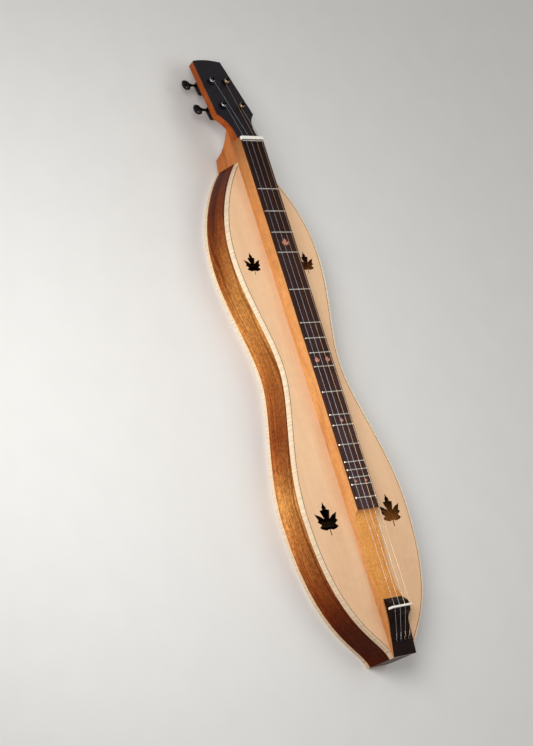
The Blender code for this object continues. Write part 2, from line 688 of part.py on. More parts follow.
def make_frets(materials):
    """Frets with a rounded crown on the board and a tang in its slot."""
    crown = []
    for step in range(7):
        angle = math.pi * step / 6
        crown.append((FRET_WIDTH / 2 * math.cos(angle), FINE_SEAM + FRET_HEIGHT * math.sin(angle)))
    tang = [(-TANG_WIDTH / 2, FINE_SEAM), (-TANG_WIDTH / 2, -TANG_DEPTH),
            (TANG_WIDTH / 2, -TANG_DEPTH), (TANG_WIDTH / 2, FINE_SEAM)]
    half = BOARD_WIDTH / 2
    rings = ([], [])
    for x, z in crown + tang:
        end = half - FRET_END_SLOPE * max(0.0, z - FINE_SEAM) / FRET_HEIGHT
        rings[0].append((x, -end, z))
        rings[1].append((x, end, z))
    mesh = loft_mesh("fret", *rings, 40)
    mesh.materials.append(materials["nickel"])
    add_object("fret_zero", mesh, location=(ZERO_FRET_X, 0, FINGERBOARD_TOP))
    for number, x in enumerate(fret_places(), 1):
        add_object(f"fret_{number:02d}", mesh, location=(x, 0, FINGERBOARD_TOP))


def rounded_bar(front_x, back_x, low, high):
    """Side view of a bar with two rounded top edges."""
    points = [(back_x, low), (front_x, low)]
    for center_x, turn in ((front_x + EDGE_ROUND, 1.0), (back_x - EDGE_ROUND, 0.5)):
        for step in range(4):
            angle = math.pi * (turn - step / 6)
            across = center_x + EDGE_ROUND * math.cos(angle)
            points.append((across, high - EDGE_ROUND + EDGE_ROUND * math.sin(angle)))
    return points


def string_height(x, number):
    """Height of a string's centre line above the board, behind the nut and at the saddle."""
    radius = STRING_DIAMETERS[number] / 2
    fret_z = FRET_TOP + FINE_SEAM + radius
    saddle_z = BODY_DEPTH + SADDLE_TOP_HEIGHT - NOTCH_DEPTH + FINE_SEAM + radius
    if x <= ZERO_FRET_X:
        share = (ZERO_FRET_X - x) / (ZERO_FRET_X - SADDLE_X)
        return fret_z + share * (saddle_z - fret_z)
    post = tuner_place(number)
    end = head_point(post["along"], 0, WINDING_START)
    return fret_z + (x - ZERO_FRET_X) / (end.x - ZERO_FRET_X) * (end.z - fret_z)


def make_nut(materials):
    low = FRETBOARD_TOP + SEAM
    high = BODY_DEPTH + NUT_TOP_HEIGHT
    mesh = side_prism("nut", rounded_bar(NUT_FRONT_X, NUT_BACK_X, low, high), BOARD_WIDTH / 2, 40)
    nut = add_object("nut", mesh, materials["bone"])
    bm = bmesh.new()
    front, back = NUT_FRONT_X - CUT_MARGIN, NUT_BACK_X + CUT_MARGIN
    for number, lane in enumerate(STRING_LANES):
        drop = STRING_DIAMETERS[number] / 2 + FINE_SEAM
        half = STRING_DIAMETERS[number] / 2 + NOTCH_MARGIN
        slope = (string_height(NUT_BACK_X, number) - string_height(NUT_FRONT_X, number)) / NUT_THICKNESS
        front_z = string_height(NUT_FRONT_X, number) - drop - slope * CUT_MARGIN
        back_z = string_height(NUT_BACK_X, number) - drop + slope * CUT_MARGIN
        wall = [(front, front_z), (back, back_z), (back, high + CUT_MARGIN), (front, high + CUT_MARGIN)]
        add_loft(bm, [(x, lane - half, z) for x, z in wall], [(x, lane + half, z) for x, z in wall])
    combine(nut, add_cutter("nut_slots", finish_mesh(bm, "nut_slots")), "DIFFERENCE")


def make_saddle(materials):
    low = BODY_DEPTH + SADDLE_SEAT_HEIGHT + SEAM
    high = BODY_DEPTH + SADDLE_TOP_HEIGHT
    profile = rounded_bar(SADDLE_X - SADDLE_THICKNESS / 2, SADDLE_X + SADDLE_THICKNESS / 2, low, high)
    saddle = add_object("saddle", side_prism("saddle", profile, SADDLE_LENGTH / 2, 40), materials["bone"])
    bm = bmesh.new()
    for diameter, lane in zip(STRING_DIAMETERS, STRING_LANES):
        half = diameter / 2 + NOTCH_MARGIN
        add_box(bm, (SADDLE_X - CUT_MARGIN, lane - half, high - NOTCH_DEPTH),
                (SADDLE_X + CUT_MARGIN, lane + half, high + CUT_MARGIN))
    combine(saddle, add_cutter("saddle_notches", finish_mesh(bm, "saddle_notches")), "DIFFERENCE")


def cap_plan():
    """Plan view of the tail cap: straight to the back of the crest, then wider towards the pins."""
    narrow, wide = CAP_WIDTH / 2, CAP_TAIL_WIDTH / 2
    crest_back = SADDLE_X - CREST_TRAIL
    middle = (crest_back + PIN_X) / 2
    flare = bezier((crest_back, narrow), (middle, narrow), (middle, wide), (PIN_X, wide), 5)
    half = [(CAP_FRONT_X + CUT_MARGIN, narrow), *flare, (TAIL_X - CUT_MARGIN, wide)]
    return [(x, -y) for x, y in reversed(half)] + half


def make_tail_cap(materials):
    mesh = side_prism("tail_cap", cap_profile(), CAP_TAIL_WIDTH, 30)
    cap = add_object("tail_cap", mesh, materials["rosewood"])
    above = BODY_DEPTH + CREST_HEIGHT + CUT_MARGIN
    plan = plan_prism("tail_cap_plan", cap_plan(), BODY_DEPTH - CUT_MARGIN, above)
    combine(cap, add_cutter("tail_cap_plan", plan), "INTERSECT")
    bm = bmesh.new()
    half = SADDLE_THICKNESS / 2 + SEAM
    add_box(bm, (SADDLE_X - half, -BOARD_WIDTH / 2 - CUT_MARGIN, BODY_DEPTH + SADDLE_SEAT_HEIGHT),
            (SADDLE_X + half, BOARD_WIDTH / 2 + CUT_MARGIN, BODY_DEPTH + CREST_HEIGHT + CUT_MARGIN))
    combine(cap, add_cutter("saddle_slot", finish_mesh(bm, "saddle_slot")), "DIFFERENCE")
    top = cap_height_at(PIN_X)
    head_base = PIN_HEIGHT - PIN_HEAD_HEIGHT
    head_rim = PIN_HEIGHT - PIN_HEAD_HEIGHT / 2
    profile = [(0, -PIN_ROOT), (PIN_RADIUS, -PIN_ROOT), (PIN_RADIUS, head_base), (PIN_HEAD_RADIUS, head_base),
               (PIN_HEAD_RADIUS, head_rim), (PIN_HEAD_RADIUS / 2, PIN_HEIGHT), (0, PIN_HEIGHT)]
    pin = turned_mesh("hitch_pin", profile, 10)
    for number, lane in enumerate(PIN_LANES, 1):
        combine(cap, add_cutter(f"hitch_pin_{number}", pin, (PIN_X, lane, top)), "UNION")


def peghead_half(start, count):
    """Half the peghead's outline in its own plane: the waist behind the nut, the shoulder, the end."""
    neck = BOARD_WIDTH / 2
    shoulder = (PEGHEAD_SHOULDER_AT, PEGHEAD_SHOULDER_WIDTH / 2)
    handles = [handle((0, neck), shoulder[0], shift) for shift in PEGHEAD_WAIST_HANDLES]
    curve = bezier((max(start, 0), neck), *handles, shoulder, count)
    lead = [(start, neck)] if start < 0 else []
    crown = [(PEGHEAD_LENGTH + PEGHEAD_CROWN * (1 - share ** 2), share * PEGHEAD_END_WIDTH / 2)
             for share in (1, 2 / 3, 1 / 3, 0)]
    return [*lead, *curve, *crown]


def peghead_ring(start):
    half = peghead_half(start, 12)
    return [(x, -y) for x, y in half] + [(x, y) for x, y in reversed(half) if y > 0]


def tuner_hole_cutter(name, radius):
    """Cylinders square to the peghead through the four tuner places."""
    bm = bmesh.new()
    for number in range(4):
        post = tuner_place(number)
        bmesh.ops.create_cone(bm, cap_ends=True, segments=ROUND_SEGMENTS, radius1=radius, radius2=radius,
                              depth=2 * PEGHEAD_DEPTH + 2 * CUT_MARGIN,
                              matrix=Matrix.Translation((post["along"], post["across"], 0)))
    return add_cutter(name, finish_mesh(bm, name), HEAD_ORIGIN, PEGHEAD_TILT)


def make_peghead(materials):
    wood_top = -OVERLAY_THICKNESS - SEAM
    outline = peghead_ring(-PEGHEAD_DEPTH)
    mesh = plan_prism("peghead", outline, -2 * PEGHEAD_DEPTH, PEGHEAD_DEPTH, 30)
    peghead = add_object("peghead", mesh, materials["mahogany"], HEAD_ORIGIN, PEGHEAD_TILT)
    base = BODY_DEPTH + SEAM
    front_x = NUT_BACK_X + SEAM
    past_end = PEGHEAD_LENGTH + PEGHEAD_CROWN + CUT_MARGIN
    lift = HEAD_ORIGIN.z - base
    bend_along = (lift - PEGHEAD_DEPTH * math.cos(PEGHEAD_TILT)) / math.sin(PEGHEAD_TILT)
    bend = head_point(bend_along, 0, -PEGHEAD_DEPTH)
    top_start = head_point((SEAM + wood_top * -math.sin(PEGHEAD_TILT)) / math.cos(PEGHEAD_TILT), 0, wood_top)
    back_end = head_point(past_end, 0, -PEGHEAD_DEPTH)
    top_end = head_point(past_end, 0, wood_top)
    side_view = [(front_x, base), (bend.x, bend.z), (back_end.x, back_end.z), (top_end.x, top_end.z),
                 (front_x, top_start.z)]
    cutter = side_prism("peghead_side_view", side_view, PEGHEAD_SHOULDER_WIDTH)
    combine(peghead, add_cutter("peghead_side_view", cutter), "INTERSECT")
    combine(peghead, tuner_hole_cutter("peghead_holes", BARREL_RADIUS + SEAM), "DIFFERENCE")

    start = SEAM + OVERLAY_THICKNESS * math.tan(PEGHEAD_TILT)
    mesh = plan_prism("peghead_overlay", peghead_ring(start), -OVERLAY_THICKNESS, 0, 30)
    overlay = add_object("peghead_overlay", mesh, materials["rosewood"], HEAD_ORIGIN, PEGHEAD_TILT)
    combine(overlay, tuner_hole_cutter("overlay_holes", BARREL_RADIUS + SEAM), "DIFFERENCE")


def tuner_place(number):
    """Side and place of the tuner that holds a string: the outer strings go to the nearer pair."""
    side = 1 if number < 2 else -1
    along, offset = POST_PLACES[0 if number in (0, 3) else 1]
    return {"side": side, "along": along, "across": side * offset}


def winding_route(number):
    """The string's way onto its post, in the peghead's plane.

    The post is at the plane's origin, and a tuner on the far side is worked out as its mirror
    image. Returns the tangent point, the unit direction in which the string arrives, the points
    of the winding, the bearing of the string hole and the height at which the winding enters it.
    """
    place = tuner_place(number)
    diameter = STRING_DIAMETERS[number]
    radius = POST_RADIUS + FINE_SEAM + diameter / 2
    at_nut = Vector((NUT_BACK_X, STRING_LANES[number], string_height(NUT_BACK_X, number)))
    nut = HEAD_FRAME.inverted() @ at_nut
    reach = Vector((place["along"] - nut.x, place["side"] * (place["across"] - nut.y)))
    heading = math.atan2(reach.y, reach.x) - math.asin(radius / reach.length)
    tangent = Vector((radius * math.sin(heading), -radius * math.cos(heading), WINDING_START))
    start = Vector((-reach.x, -reach.y, nut.z))
    arrival = (tangent - start).normalized()
    pitch = diameter + WINDING_GAP
    first = heading - math.pi / 2
    points = [tangent - arrival * diameter]
    for step in range(WINDING_TURNS * WINDING_LOOP_POINTS + 1):
        turn = step / WINDING_LOOP_POINTS
        angle = first + math.tau * turn
        height = WINDING_START + pitch * turn
        points.append(Vector((radius * math.cos(angle), radius * math.sin(angle), height)))
    last = first + math.tau * WINDING_TURNS
    top = WINDING_START + pitch * WINDING_TURNS
    outward = Vector((math.cos(last), math.sin(last), 0))
    onward = Vector((-math.sin(last), math.cos(last), 0))
    center = outward * (radius - WINDING_BEND)
    center.z = top
    sweep = math.acos(-WINDING_BEND / (radius - WINDING_BEND))
    for step in range(1, 6):
        angle = sweep * step / 5
        points.append(center + WINDING_BEND * (outward * math.cos(angle) + onward * math.sin(angle)))
    mouth = points[-1]
    bearing = math.atan2(mouth.y, mouth.x)
    inward = Vector((-math.cos(bearing), -math.sin(bearing), 0))
    points.append(mouth + inward * max(diameter, POST_RADIUS / 3))
    return {"tangent": tangent, "arrival": arrival, "points": points, "bearing": bearing, "top": top}


def mirrored(point, side):
    return Vector((point.x, side * point.y, point.z))


def least_gap(points, diameter):
    """Least clear distance between stretches of a winding that are half a turn or more apart."""
    places = np.array([tuple(point) for point in points])
    apart = WINDING_LOOP_POINTS // 2
    gaps = [np.linalg.norm(places[number + apart:] - place, axis=1).min()
            for number, place in enumerate(places[:-apart])]
    return min(gaps) - diameter


def make_winding(number, materials):
    place = tuner_place(number)
    route = winding_route(number)
    points = [mirrored(point, place["side"]) for point in route["points"]]
    name = f"string_winding_{number + 1}"
    curve = tube_curve(name, points, STRING_DIAMETERS[number], 1)
    metal = materials["steel"] if number < 2 else materials["bronze"]
    add_object(name, curve, metal, head_point(place["along"], place["across"], 0), PEGHEAD_TILT)
    print(f"{name}: least gap to itself {least_gap(points, STRING_DIAMETERS[number]) * 1000:.2f} mm")


def make_string(number, materials):
    """One string from its hitch pin over the saddle, the zero fret and the nut to its post."""
    place = tuner_place(number)
    route = winding_route(number)
    diameter = STRING_DIAMETERS[number]
    lane = STRING_LANES[number]
    radius = POST_RADIUS + FINE_SEAM + diameter / 2
    swept = math.hypot(radius + diameter / 2, diameter) + FINE_SEAM
    clear_run = math.sqrt(swept ** 2 - (radius - diameter / 2) ** 2)
    local_end = route["tangent"] - route["arrival"] * clear_run
    post = Vector((place["along"], place["across"], 0))
    end = HEAD_FRAME @ (post + mirrored(local_end, place["side"]))
    rest = PIN_RADIUS + FINE_SEAM
    saddle_z = string_height(SADDLE_X, number)
    points = [
        (PIN_X + rest, PIN_LANES[number], cap_height_at(PIN_X) + STRING_END_HEIGHT),
        (SADDLE_X - SADDLE_THICKNESS / 2, lane, saddle_z - STRING_SADDLE_DROP),
        (SADDLE_X - SADDLE_THICKNESS / 6, lane, saddle_z),
        (SADDLE_X + SADDLE_THICKNESS / 3, lane, string_height(SADDLE_X + SADDLE_THICKNESS / 3, number)),
        (FINGERBOARD_END_X, lane, string_height(FINGERBOARD_END_X, number)),
        (ZERO_FRET_X, lane, string_height(ZERO_FRET_X, number)),
        (NUT_FRONT_X, lane, string_height(NUT_FRONT_X, number)),
        (NUT_BACK_X, lane, string_height(NUT_BACK_X, number)),
        tuple(end),
    ]
    metal = materials["steel"] if number < 2 else materials["bronze"]
    name = f"string_{number + 1}"
    add_object(name, tube_curve(name, points, diameter, 2), metal)
    stretches = [math.dist(first, second) for first, second in zip(points, points[1:])]
    print(f"{name}: {sum(stretches) * 1000:.1f} mm from its pin to its post")


def make_housing(number, materials):
    """A sealed tuner case behind the peghead, with its barrel and washer through to the front."""
    place = tuner_place(number)
    side = place["side"]
    name = f"tuner_housing_{number + 1}"
    walls = sorted((-side * HOUSING_INWARD, side * HOUSING_OUTWARD))
    bm = bmesh.new()
    add_box(bm, (-HOUSING_BELOW_POST, walls[0], HOUSING_TOP - HOUSING_DEPTH),
            (WORM_OFFSET + HOUSING_PAST_SHAFT, walls[1], HOUSING_TOP))
    spot = head_point(place["along"], place["across"], 0)
    housing = add_object(name, finish_mesh(bm, name), materials["tuner_black"], spot, PEGHEAD_TILT)
    bevel = housing.modifiers.new("Rounded edges", "BEVEL")
    bevel.width = HOUSING_ROUND
    bevel.segments = 2
    front = SEAM + WASHER_THICKNESS
    barrel = [(0, HOUSING_TOP - HOUSING_ROUND), (BARREL_RADIUS, HOUSING_TOP - HOUSING_ROUND),
              (BARREL_RADIUS, SEAM), (WASHER_RADIUS, SEAM), (WASHER_RADIUS - SEAM, front),
              (BUSHING_RADIUS, front), (BUSHING_RADIUS, BUSHING_HEIGHT - BUSHING_CHAMFER),
              (BUSHING_RADIUS - BUSHING_CHAMFER, BUSHING_HEIGHT), (0, BUSHING_HEIGHT)]
    barrel_cutter = add_cutter(f"barrel_{number + 1}", turned_mesh("barrel", barrel), spot, PEGHEAD_TILT)
    combine(housing, barrel_cutter, "UNION")
    bore = POST_RADIUS + RUNNING_GAP
    bore_floor = HOUSING_TOP - POST_SINK - RUNNING_GAP
    bore_top = BUSHING_HEIGHT + CUT_MARGIN
    well = [(0, bore_floor), (bore, bore_floor), (bore, bore_top), (0, bore_top)]
    post_bore = add_cutter(f"post_bore_{number + 1}", turned_mesh("post_bore", well), spot, PEGHEAD_TILT)
    combine(housing, post_bore, "DIFFERENCE")
    shaft_bore = SHAFT_RADIUS + RUNNING_GAP
    inner = side * (HOUSING_OUTWARD - SHAFT_INSERT - RUNNING_GAP)
    outer = side * (HOUSING_OUTWARD + CUT_MARGIN)
    drill = [(0, inner), (shaft_bore, inner), (shaft_bore, outer), (0, outer)]
    shaft_spot = head_point(place["along"] + WORM_OFFSET, place["across"], SHAFT_LEVEL)
    drill_mesh = turned_mesh("shaft_bore", drill, axis="Y")
    shaft_cutter = add_cutter(f"shaft_bore_{number + 1}", drill_mesh, shaft_spot, PEGHEAD_TILT)
    combine(housing, shaft_cutter, "DIFFERENCE")


def make_knob(number, materials):
    """An oval button on the worm's shaft, turning about the shaft."""
    place = tuner_place(number)
    side = place["side"]
    name = f"tuner_knob_{number + 1}"
    wide = KNOB_WIDTH / 2
    start = KNOB_GAP
    neck = start + KNOB_NECK_LENGTH
    end = start + KNOB_LENGTH
    body = end - neck
    knob = [(KNOB_NECK_RADIUS, start), (KNOB_NECK_RADIUS, neck - KNOB_NECK_CHAMFER)]
    knob += [(share * wide, neck + rise * body) for share, rise in KNOB_SECTION]
    shaft = [(0, -SHAFT_INSERT), (SHAFT_RADIUS, -SHAFT_INSERT), (SHAFT_RADIUS, start)]
    profile = [(radius, side * height) for radius, height in shaft + knob]
    mesh = turned_mesh(name, profile, 18, "Y")
    flatness = KNOB_THICKNESS / KNOB_WIDTH
    for vertex in mesh.vertices:
        if side * vertex.co.y > neck - KNOB_NECK_CHAMFER / 2:
            vertex.co.z *= flatness
    spot = head_point(place["along"] + WORM_OFFSET, place["across"] + side * HOUSING_OUTWARD, SHAFT_LEVEL)
    add_object(name, mesh, materials["tuner_black"], spot, PEGHEAD_TILT)


def make_post(number, materials):
    """The string post, with the cross hole that its string goes into."""
    place = tuner_place(number)
    route = winding_route(number)
    name = f"tuner_post_{number + 1}"
    base = HOUSING_TOP - POST_SINK
    profile = [(0, base), (POST_RADIUS, base), (POST_RADIUS, POST_HEIGHT - POST_CHAMFER),
               (POST_RADIUS - POST_CHAMFER, POST_HEIGHT), (0, POST_HEIGHT)]
    spot = head_point(place["along"], place["across"], 0)
    post = add_object(name, turned_mesh(name, profile), materials["tuner_black"], spot, PEGHEAD_TILT)
    bm = bmesh.new()
    turn = Matrix.Rotation(place["side"] * route["bearing"], 4, "Z") @ Matrix.Rotation(math.pi / 2, 4, "Y")
    bmesh.ops.create_cone(bm, cap_ends=True, segments=12, radius1=STRING_HOLE_RADIUS,
                          radius2=STRING_HOLE_RADIUS, depth=2 * POST_RADIUS + 2 * CUT_MARGIN,
                          matrix=Matrix.Translation((0, 0, route["top"])) @ turn)
    hole = finish_mesh(bm, f"string_hole_{number + 1}")
    combine(post, add_cutter(f"string_hole_{number + 1}", hole, spot, PEGHEAD_TILT), "DIFFERENCE")


def make_materials():
    return {
        "spruce": make_material("spruce", (0.78, 0.56, 0.32), 0.45),
        "rib_wood": make_material("rib_wood", (0.27, 0.10, 0.03), 0.25),
        "maple": make_material("maple", (0.87, 0.70, 0.48), 0.30),
        "mahogany": make_material("mahogany", (0.56, 0.21, 0.06), 0.35),
        "heel_wood": make_material("heel_wood", (0.80, 0.42, 0.14), 0.35),
        "rosewood": make_material("rosewood", (0.035, 0.022, 0.020), 0.40),
        "bone": make_material("bone", (0.86, 0.82, 0.72), 0.30),
        "nickel": make_material("nickel", (0.66, 0.65, 0.62), 0.22, 1.0),
        "steel": make_material("steel", (0.62, 0.62, 0.62), 0.25, 1.0),
        "bronze": make_material("bronze", (0.60, 0.36, 0.17), 0.30, 1.0),
        "tuner_black": make_material("tuner_black", (0.012, 0.012, 0.013), 0.30),
    }


def main():
    clear_scene()
    materials = make_materials()
    make_back(materials)
    make_sides(materials)
    make_soundboard(materials)
    make_braces(materials)
    make_blocks(materials)
    make_fretboard(materials)
    make_fingerboard(materials)
    make_frets(materials)
    make_nut(materials)
    make_saddle(materials)
    make_tail_cap(materials)
    make_peghead(materials)
    for number in range(4):
        make_housing(number, materials)
        make_knob(number, materials)
        make_post(number, materials)
        make_winding(number, materials)
        make_string(number, materials)


main()
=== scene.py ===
# %% [markdown]
# # A mountain dulcimer
# A mountain dulcimer is a long fretted zither with an hourglass body. It lies on its back on the
# player's lap, so it lies on its back here too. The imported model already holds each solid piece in
# its place. This lesson gives those pieces their woods and metals, winds the strings as wire, and
# adds the trim that is too fine to be a solid: the purfling line and the leaf inlays.

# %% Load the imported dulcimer
import math

import bpy
from mathutils import Matrix, Vector


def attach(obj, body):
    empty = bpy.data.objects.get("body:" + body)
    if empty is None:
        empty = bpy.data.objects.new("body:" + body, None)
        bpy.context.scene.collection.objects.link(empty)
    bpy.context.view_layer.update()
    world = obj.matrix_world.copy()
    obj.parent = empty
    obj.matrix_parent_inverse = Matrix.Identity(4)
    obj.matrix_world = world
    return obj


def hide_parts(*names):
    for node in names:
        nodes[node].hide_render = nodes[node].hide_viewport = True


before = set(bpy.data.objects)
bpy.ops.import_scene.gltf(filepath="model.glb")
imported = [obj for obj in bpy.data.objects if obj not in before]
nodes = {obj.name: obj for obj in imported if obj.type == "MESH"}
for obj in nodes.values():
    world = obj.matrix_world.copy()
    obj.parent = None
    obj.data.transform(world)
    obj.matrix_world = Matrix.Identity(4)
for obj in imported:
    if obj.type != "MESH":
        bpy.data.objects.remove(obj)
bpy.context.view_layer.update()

# %% [markdown]
# ## The camera
# The photograph looks at the dulcimer from the player's side and from above, through a long lens,
# with the camera rolled so that the neck stands up in the frame. A place, a point to look at and a
# roll angle say that plainly, and they are easier to change than three Euler angles.

# %% Set the camera
camera_data = bpy.data.cameras.new("Camera")
camera_data.lens = 98.95
camera_data.sensor_width = 36.0
camera = bpy.data.objects.new("Camera", camera_data)
bpy.context.scene.collection.objects.link(camera)
camera_place = Vector((-0.6067, 1.9248, 1.9425))
looked_at = Vector((0.0447, 0.0860, 0.0520))
roll = math.radians(58.9455)


def aimed(place, target):
    """Where a camera or a lamp stands, turned so that it faces its target."""
    turn = (target - place).to_track_quat("-Z", "Y")
    return Matrix.Translation(place) @ turn.to_matrix().to_4x4()


camera.matrix_world = aimed(camera_place, looked_at) @ Matrix.Rotation(roll, 4, "Z")
bpy.context.scene.camera = camera
bpy.context.scene.view_settings.view_transform = "Standard"
print("camera", round((looked_at - camera_place).length, 3), "m away, lens", camera_data.lens, "mm")

# %% [markdown]
# ## Colours and nodes
# Colours are written as the hex codes that a paint program shows. Blender's sockets hold linear
# light, so one function turns a code to linear. Another small function adds any node, with its
# settings, values and links, which keeps each material readable from its coordinates to its shader.


# %% Helpers for colours and nodes
def linear(code):
    """An sRGB hex code as the linear colour that a socket holds."""
    shares = [int(code[start:start + 2], 16) / 255 for start in (0, 2, 4)]
    light = [share / 12.92 if share <= 0.04045 else ((share + 0.055) / 1.055) ** 2.4 for share in shares]
    return (*light, 1)


def add(tree, kind, inputs=None, **settings):
    """Add one node. Each input is a value, or a socket to link from."""
    node = tree.nodes.new(kind)
    for name, value in settings.items():
        setattr(node, name, value)
    for name, value in (inputs or {}).items():
        if isinstance(value, bpy.types.NodeSocket):
            tree.links.new(value, node.inputs[name])
        else:
            node.inputs[name].default_value = value
    return node


def link_look(tree, shader, **results):
    """Link results to the shader's inputs of the same names."""
    for name, socket in results.items():
        tree.links.new(socket, shader.inputs[name.replace("_", " ")])


def new_material(name, **constants):
    """A material with its Principled shader, and the position on the piece in millimetres."""
    material = bpy.data.materials.new(name)
    material.use_nodes = True
    tree = material.node_tree
    shader = tree.nodes["Principled BSDF"]
    for socket, value in constants.items():
        shader.inputs[socket.replace("_", " ")].default_value = value
    place = add(tree, "ShaderNodeTexCoord").outputs["Object"]
    mm = add(tree, "ShaderNodeVectorMath", {0: place, "Scale": 1000.0}, operation="SCALE").outputs[0]
    return material, tree, shader, mm


# Nearly all of a noise lies between these
noise_low, noise_high = 0.3, 0.7
print("sRGB F5E0C0 is linear", [round(share, 3) for share in linear("F5E0C0")[:3]])

# %% [markdown]
# ## Light and floor
# A studio tent lights an instrument softly from all around. One soft box stands close, on the
# player's side, and its grid keeps the light within a cone of 100 degrees. So the light is fullest
# at the waist and fades a little towards both ends, and it brings out the sheen of the wood. The
# world stands for the tent, and a large lamp, high on the far side, fills the shadows. Together
# they light the soundboard at a strength of about one, so that each wood renders in the colour it
# is given. Along the long pieces, that colour holds some painted shade and sheen. The floor is
# plain and pale.

# %% Set the lights and the floor
world = bpy.data.worlds.new("Tent")
bpy.context.scene.world = world
world.use_nodes = True
tree = world.node_tree
# Only the camera sees the pale tent. The dimmer white lights the dulcimer, and is what it reflects
ray = add(tree, "ShaderNodeLightPath")
lit = add(tree, "ShaderNodeBackground", {"Color": linear("FFFFFF"), "Strength": 0.30})
seen = add(tree, "ShaderNodeBackground", {"Color": linear("DAD8D4"), "Strength": 1.0})
mixed = add(tree, "ShaderNodeMixShader",
            {0: ray.outputs["Is Camera Ray"], 1: lit.outputs[0], 2: seen.outputs[0]})
tree.links.new(mixed.outputs[0], tree.nodes["World Output"].inputs["Surface"])


def add_lamp(name, place, target, size, power, spread=180):
    """A round lamp. size: in metres, power: in watts, spread: the angle of its cone in degrees."""
    lamp_data = bpy.data.lights.new(name, "AREA")
    lamp_data.spread = math.radians(spread)
    lamp_data.shape = "DISK"
    lamp_data.size = size
    lamp_data.energy = power
    lamp = bpy.data.objects.new(name, lamp_data)
    lamp.matrix_world = aimed(place, target)
    bpy.context.scene.collection.objects.link(lamp)


add_lamp("key_lamp", Vector((0.10, 1.00, 0.94)), Vector((0.03, 0, 0.03)), size=0.8, power=4.8, spread=100)
add_lamp("fill_lamp", Vector((-0.3, -1.6, 2.6)), Vector((0, 0, 0)), size=2.5, power=18.0)

# The floor is a square, just clear of the dulcimer's back
floor_reach = 6
floor_z = -0.0003
floor_corners = ((-floor_reach, -floor_reach), (floor_reach, -floor_reach),
                 (floor_reach, floor_reach), (-floor_reach, floor_reach))
floor_mesh = bpy.data.meshes.new("floor")
floor_mesh.from_pydata([(x, y, floor_z) for x, y in floor_corners], [], [(0, 1, 2, 3)])
floor = bpy.data.objects.new("floor", floor_mesh)
bpy.context.scene.collection.objects.link(floor)
floor_paint, tree, shader, mm = new_material("matt_floor_paint", Roughness=0.7)
mottle = add(tree, "ShaderNodeTexNoise", {"Vector": mm, "Scale": 0.02, "Detail": 4.0})
tint = add(tree, "ShaderNodeMix", {0: mottle.outputs[0], 6: linear("E2E0DC"), 7: linear("E8E6E2")},
           data_type="RGBA")
link_look(tree, shader, Base_Color=tint.outputs[2])
floor_mesh.materials.append(floor_paint)

# %% [markdown]
# ## Wood
# Wood is the main finish here, in a dozen kinds. Every kind has growth rings, long fibres, slow
# patches of colour, open pores and some curl across the grain. They differ in the sizes and
# strengths of these, so one function draws them all from sizes in millimetres. The grain runs
# along X, as it does on every long piece of the real one. `rings` is the direction in which one
# ring follows the next: across the width on a quarter-sawn plate, up the height on a bent side.
# The pattern is solid, in the piece's own coordinates, so it turns a corner as real wood does.
#
# Under lacquer the fibres themselves shine, in the wood's own colour. They reflect light as a
# bundle of thin rods does: in a narrow band along the grain and a wide one across it. An
# anisotropic gloss with a tinted reflection does this. Its tangent is square to the grain.

# %% A function for the woods
# A little off the X axis, so that end grain, which faces along X, has a tangent too
grain = (1, 0.03, 0.05)
# Cells in millimetres, along the grain and across it. The rings wander by up to seven of their widths
wander_cell = (160, 30, 30)
ring_wander = 7
fibre_length = 45
patch_cell = (120, 25, 25)
pore_limits = (0.58, 0.70)


def stretch(tree, mm, sizes):
    """The position, counted in cells of these sizes in millimetres."""
    cells = [1 / size for size in sizes]
    return add(tree, "ShaderNodeVectorMath", {0: mm, 1: cells}, operation="MULTIPLY").outputs[0]


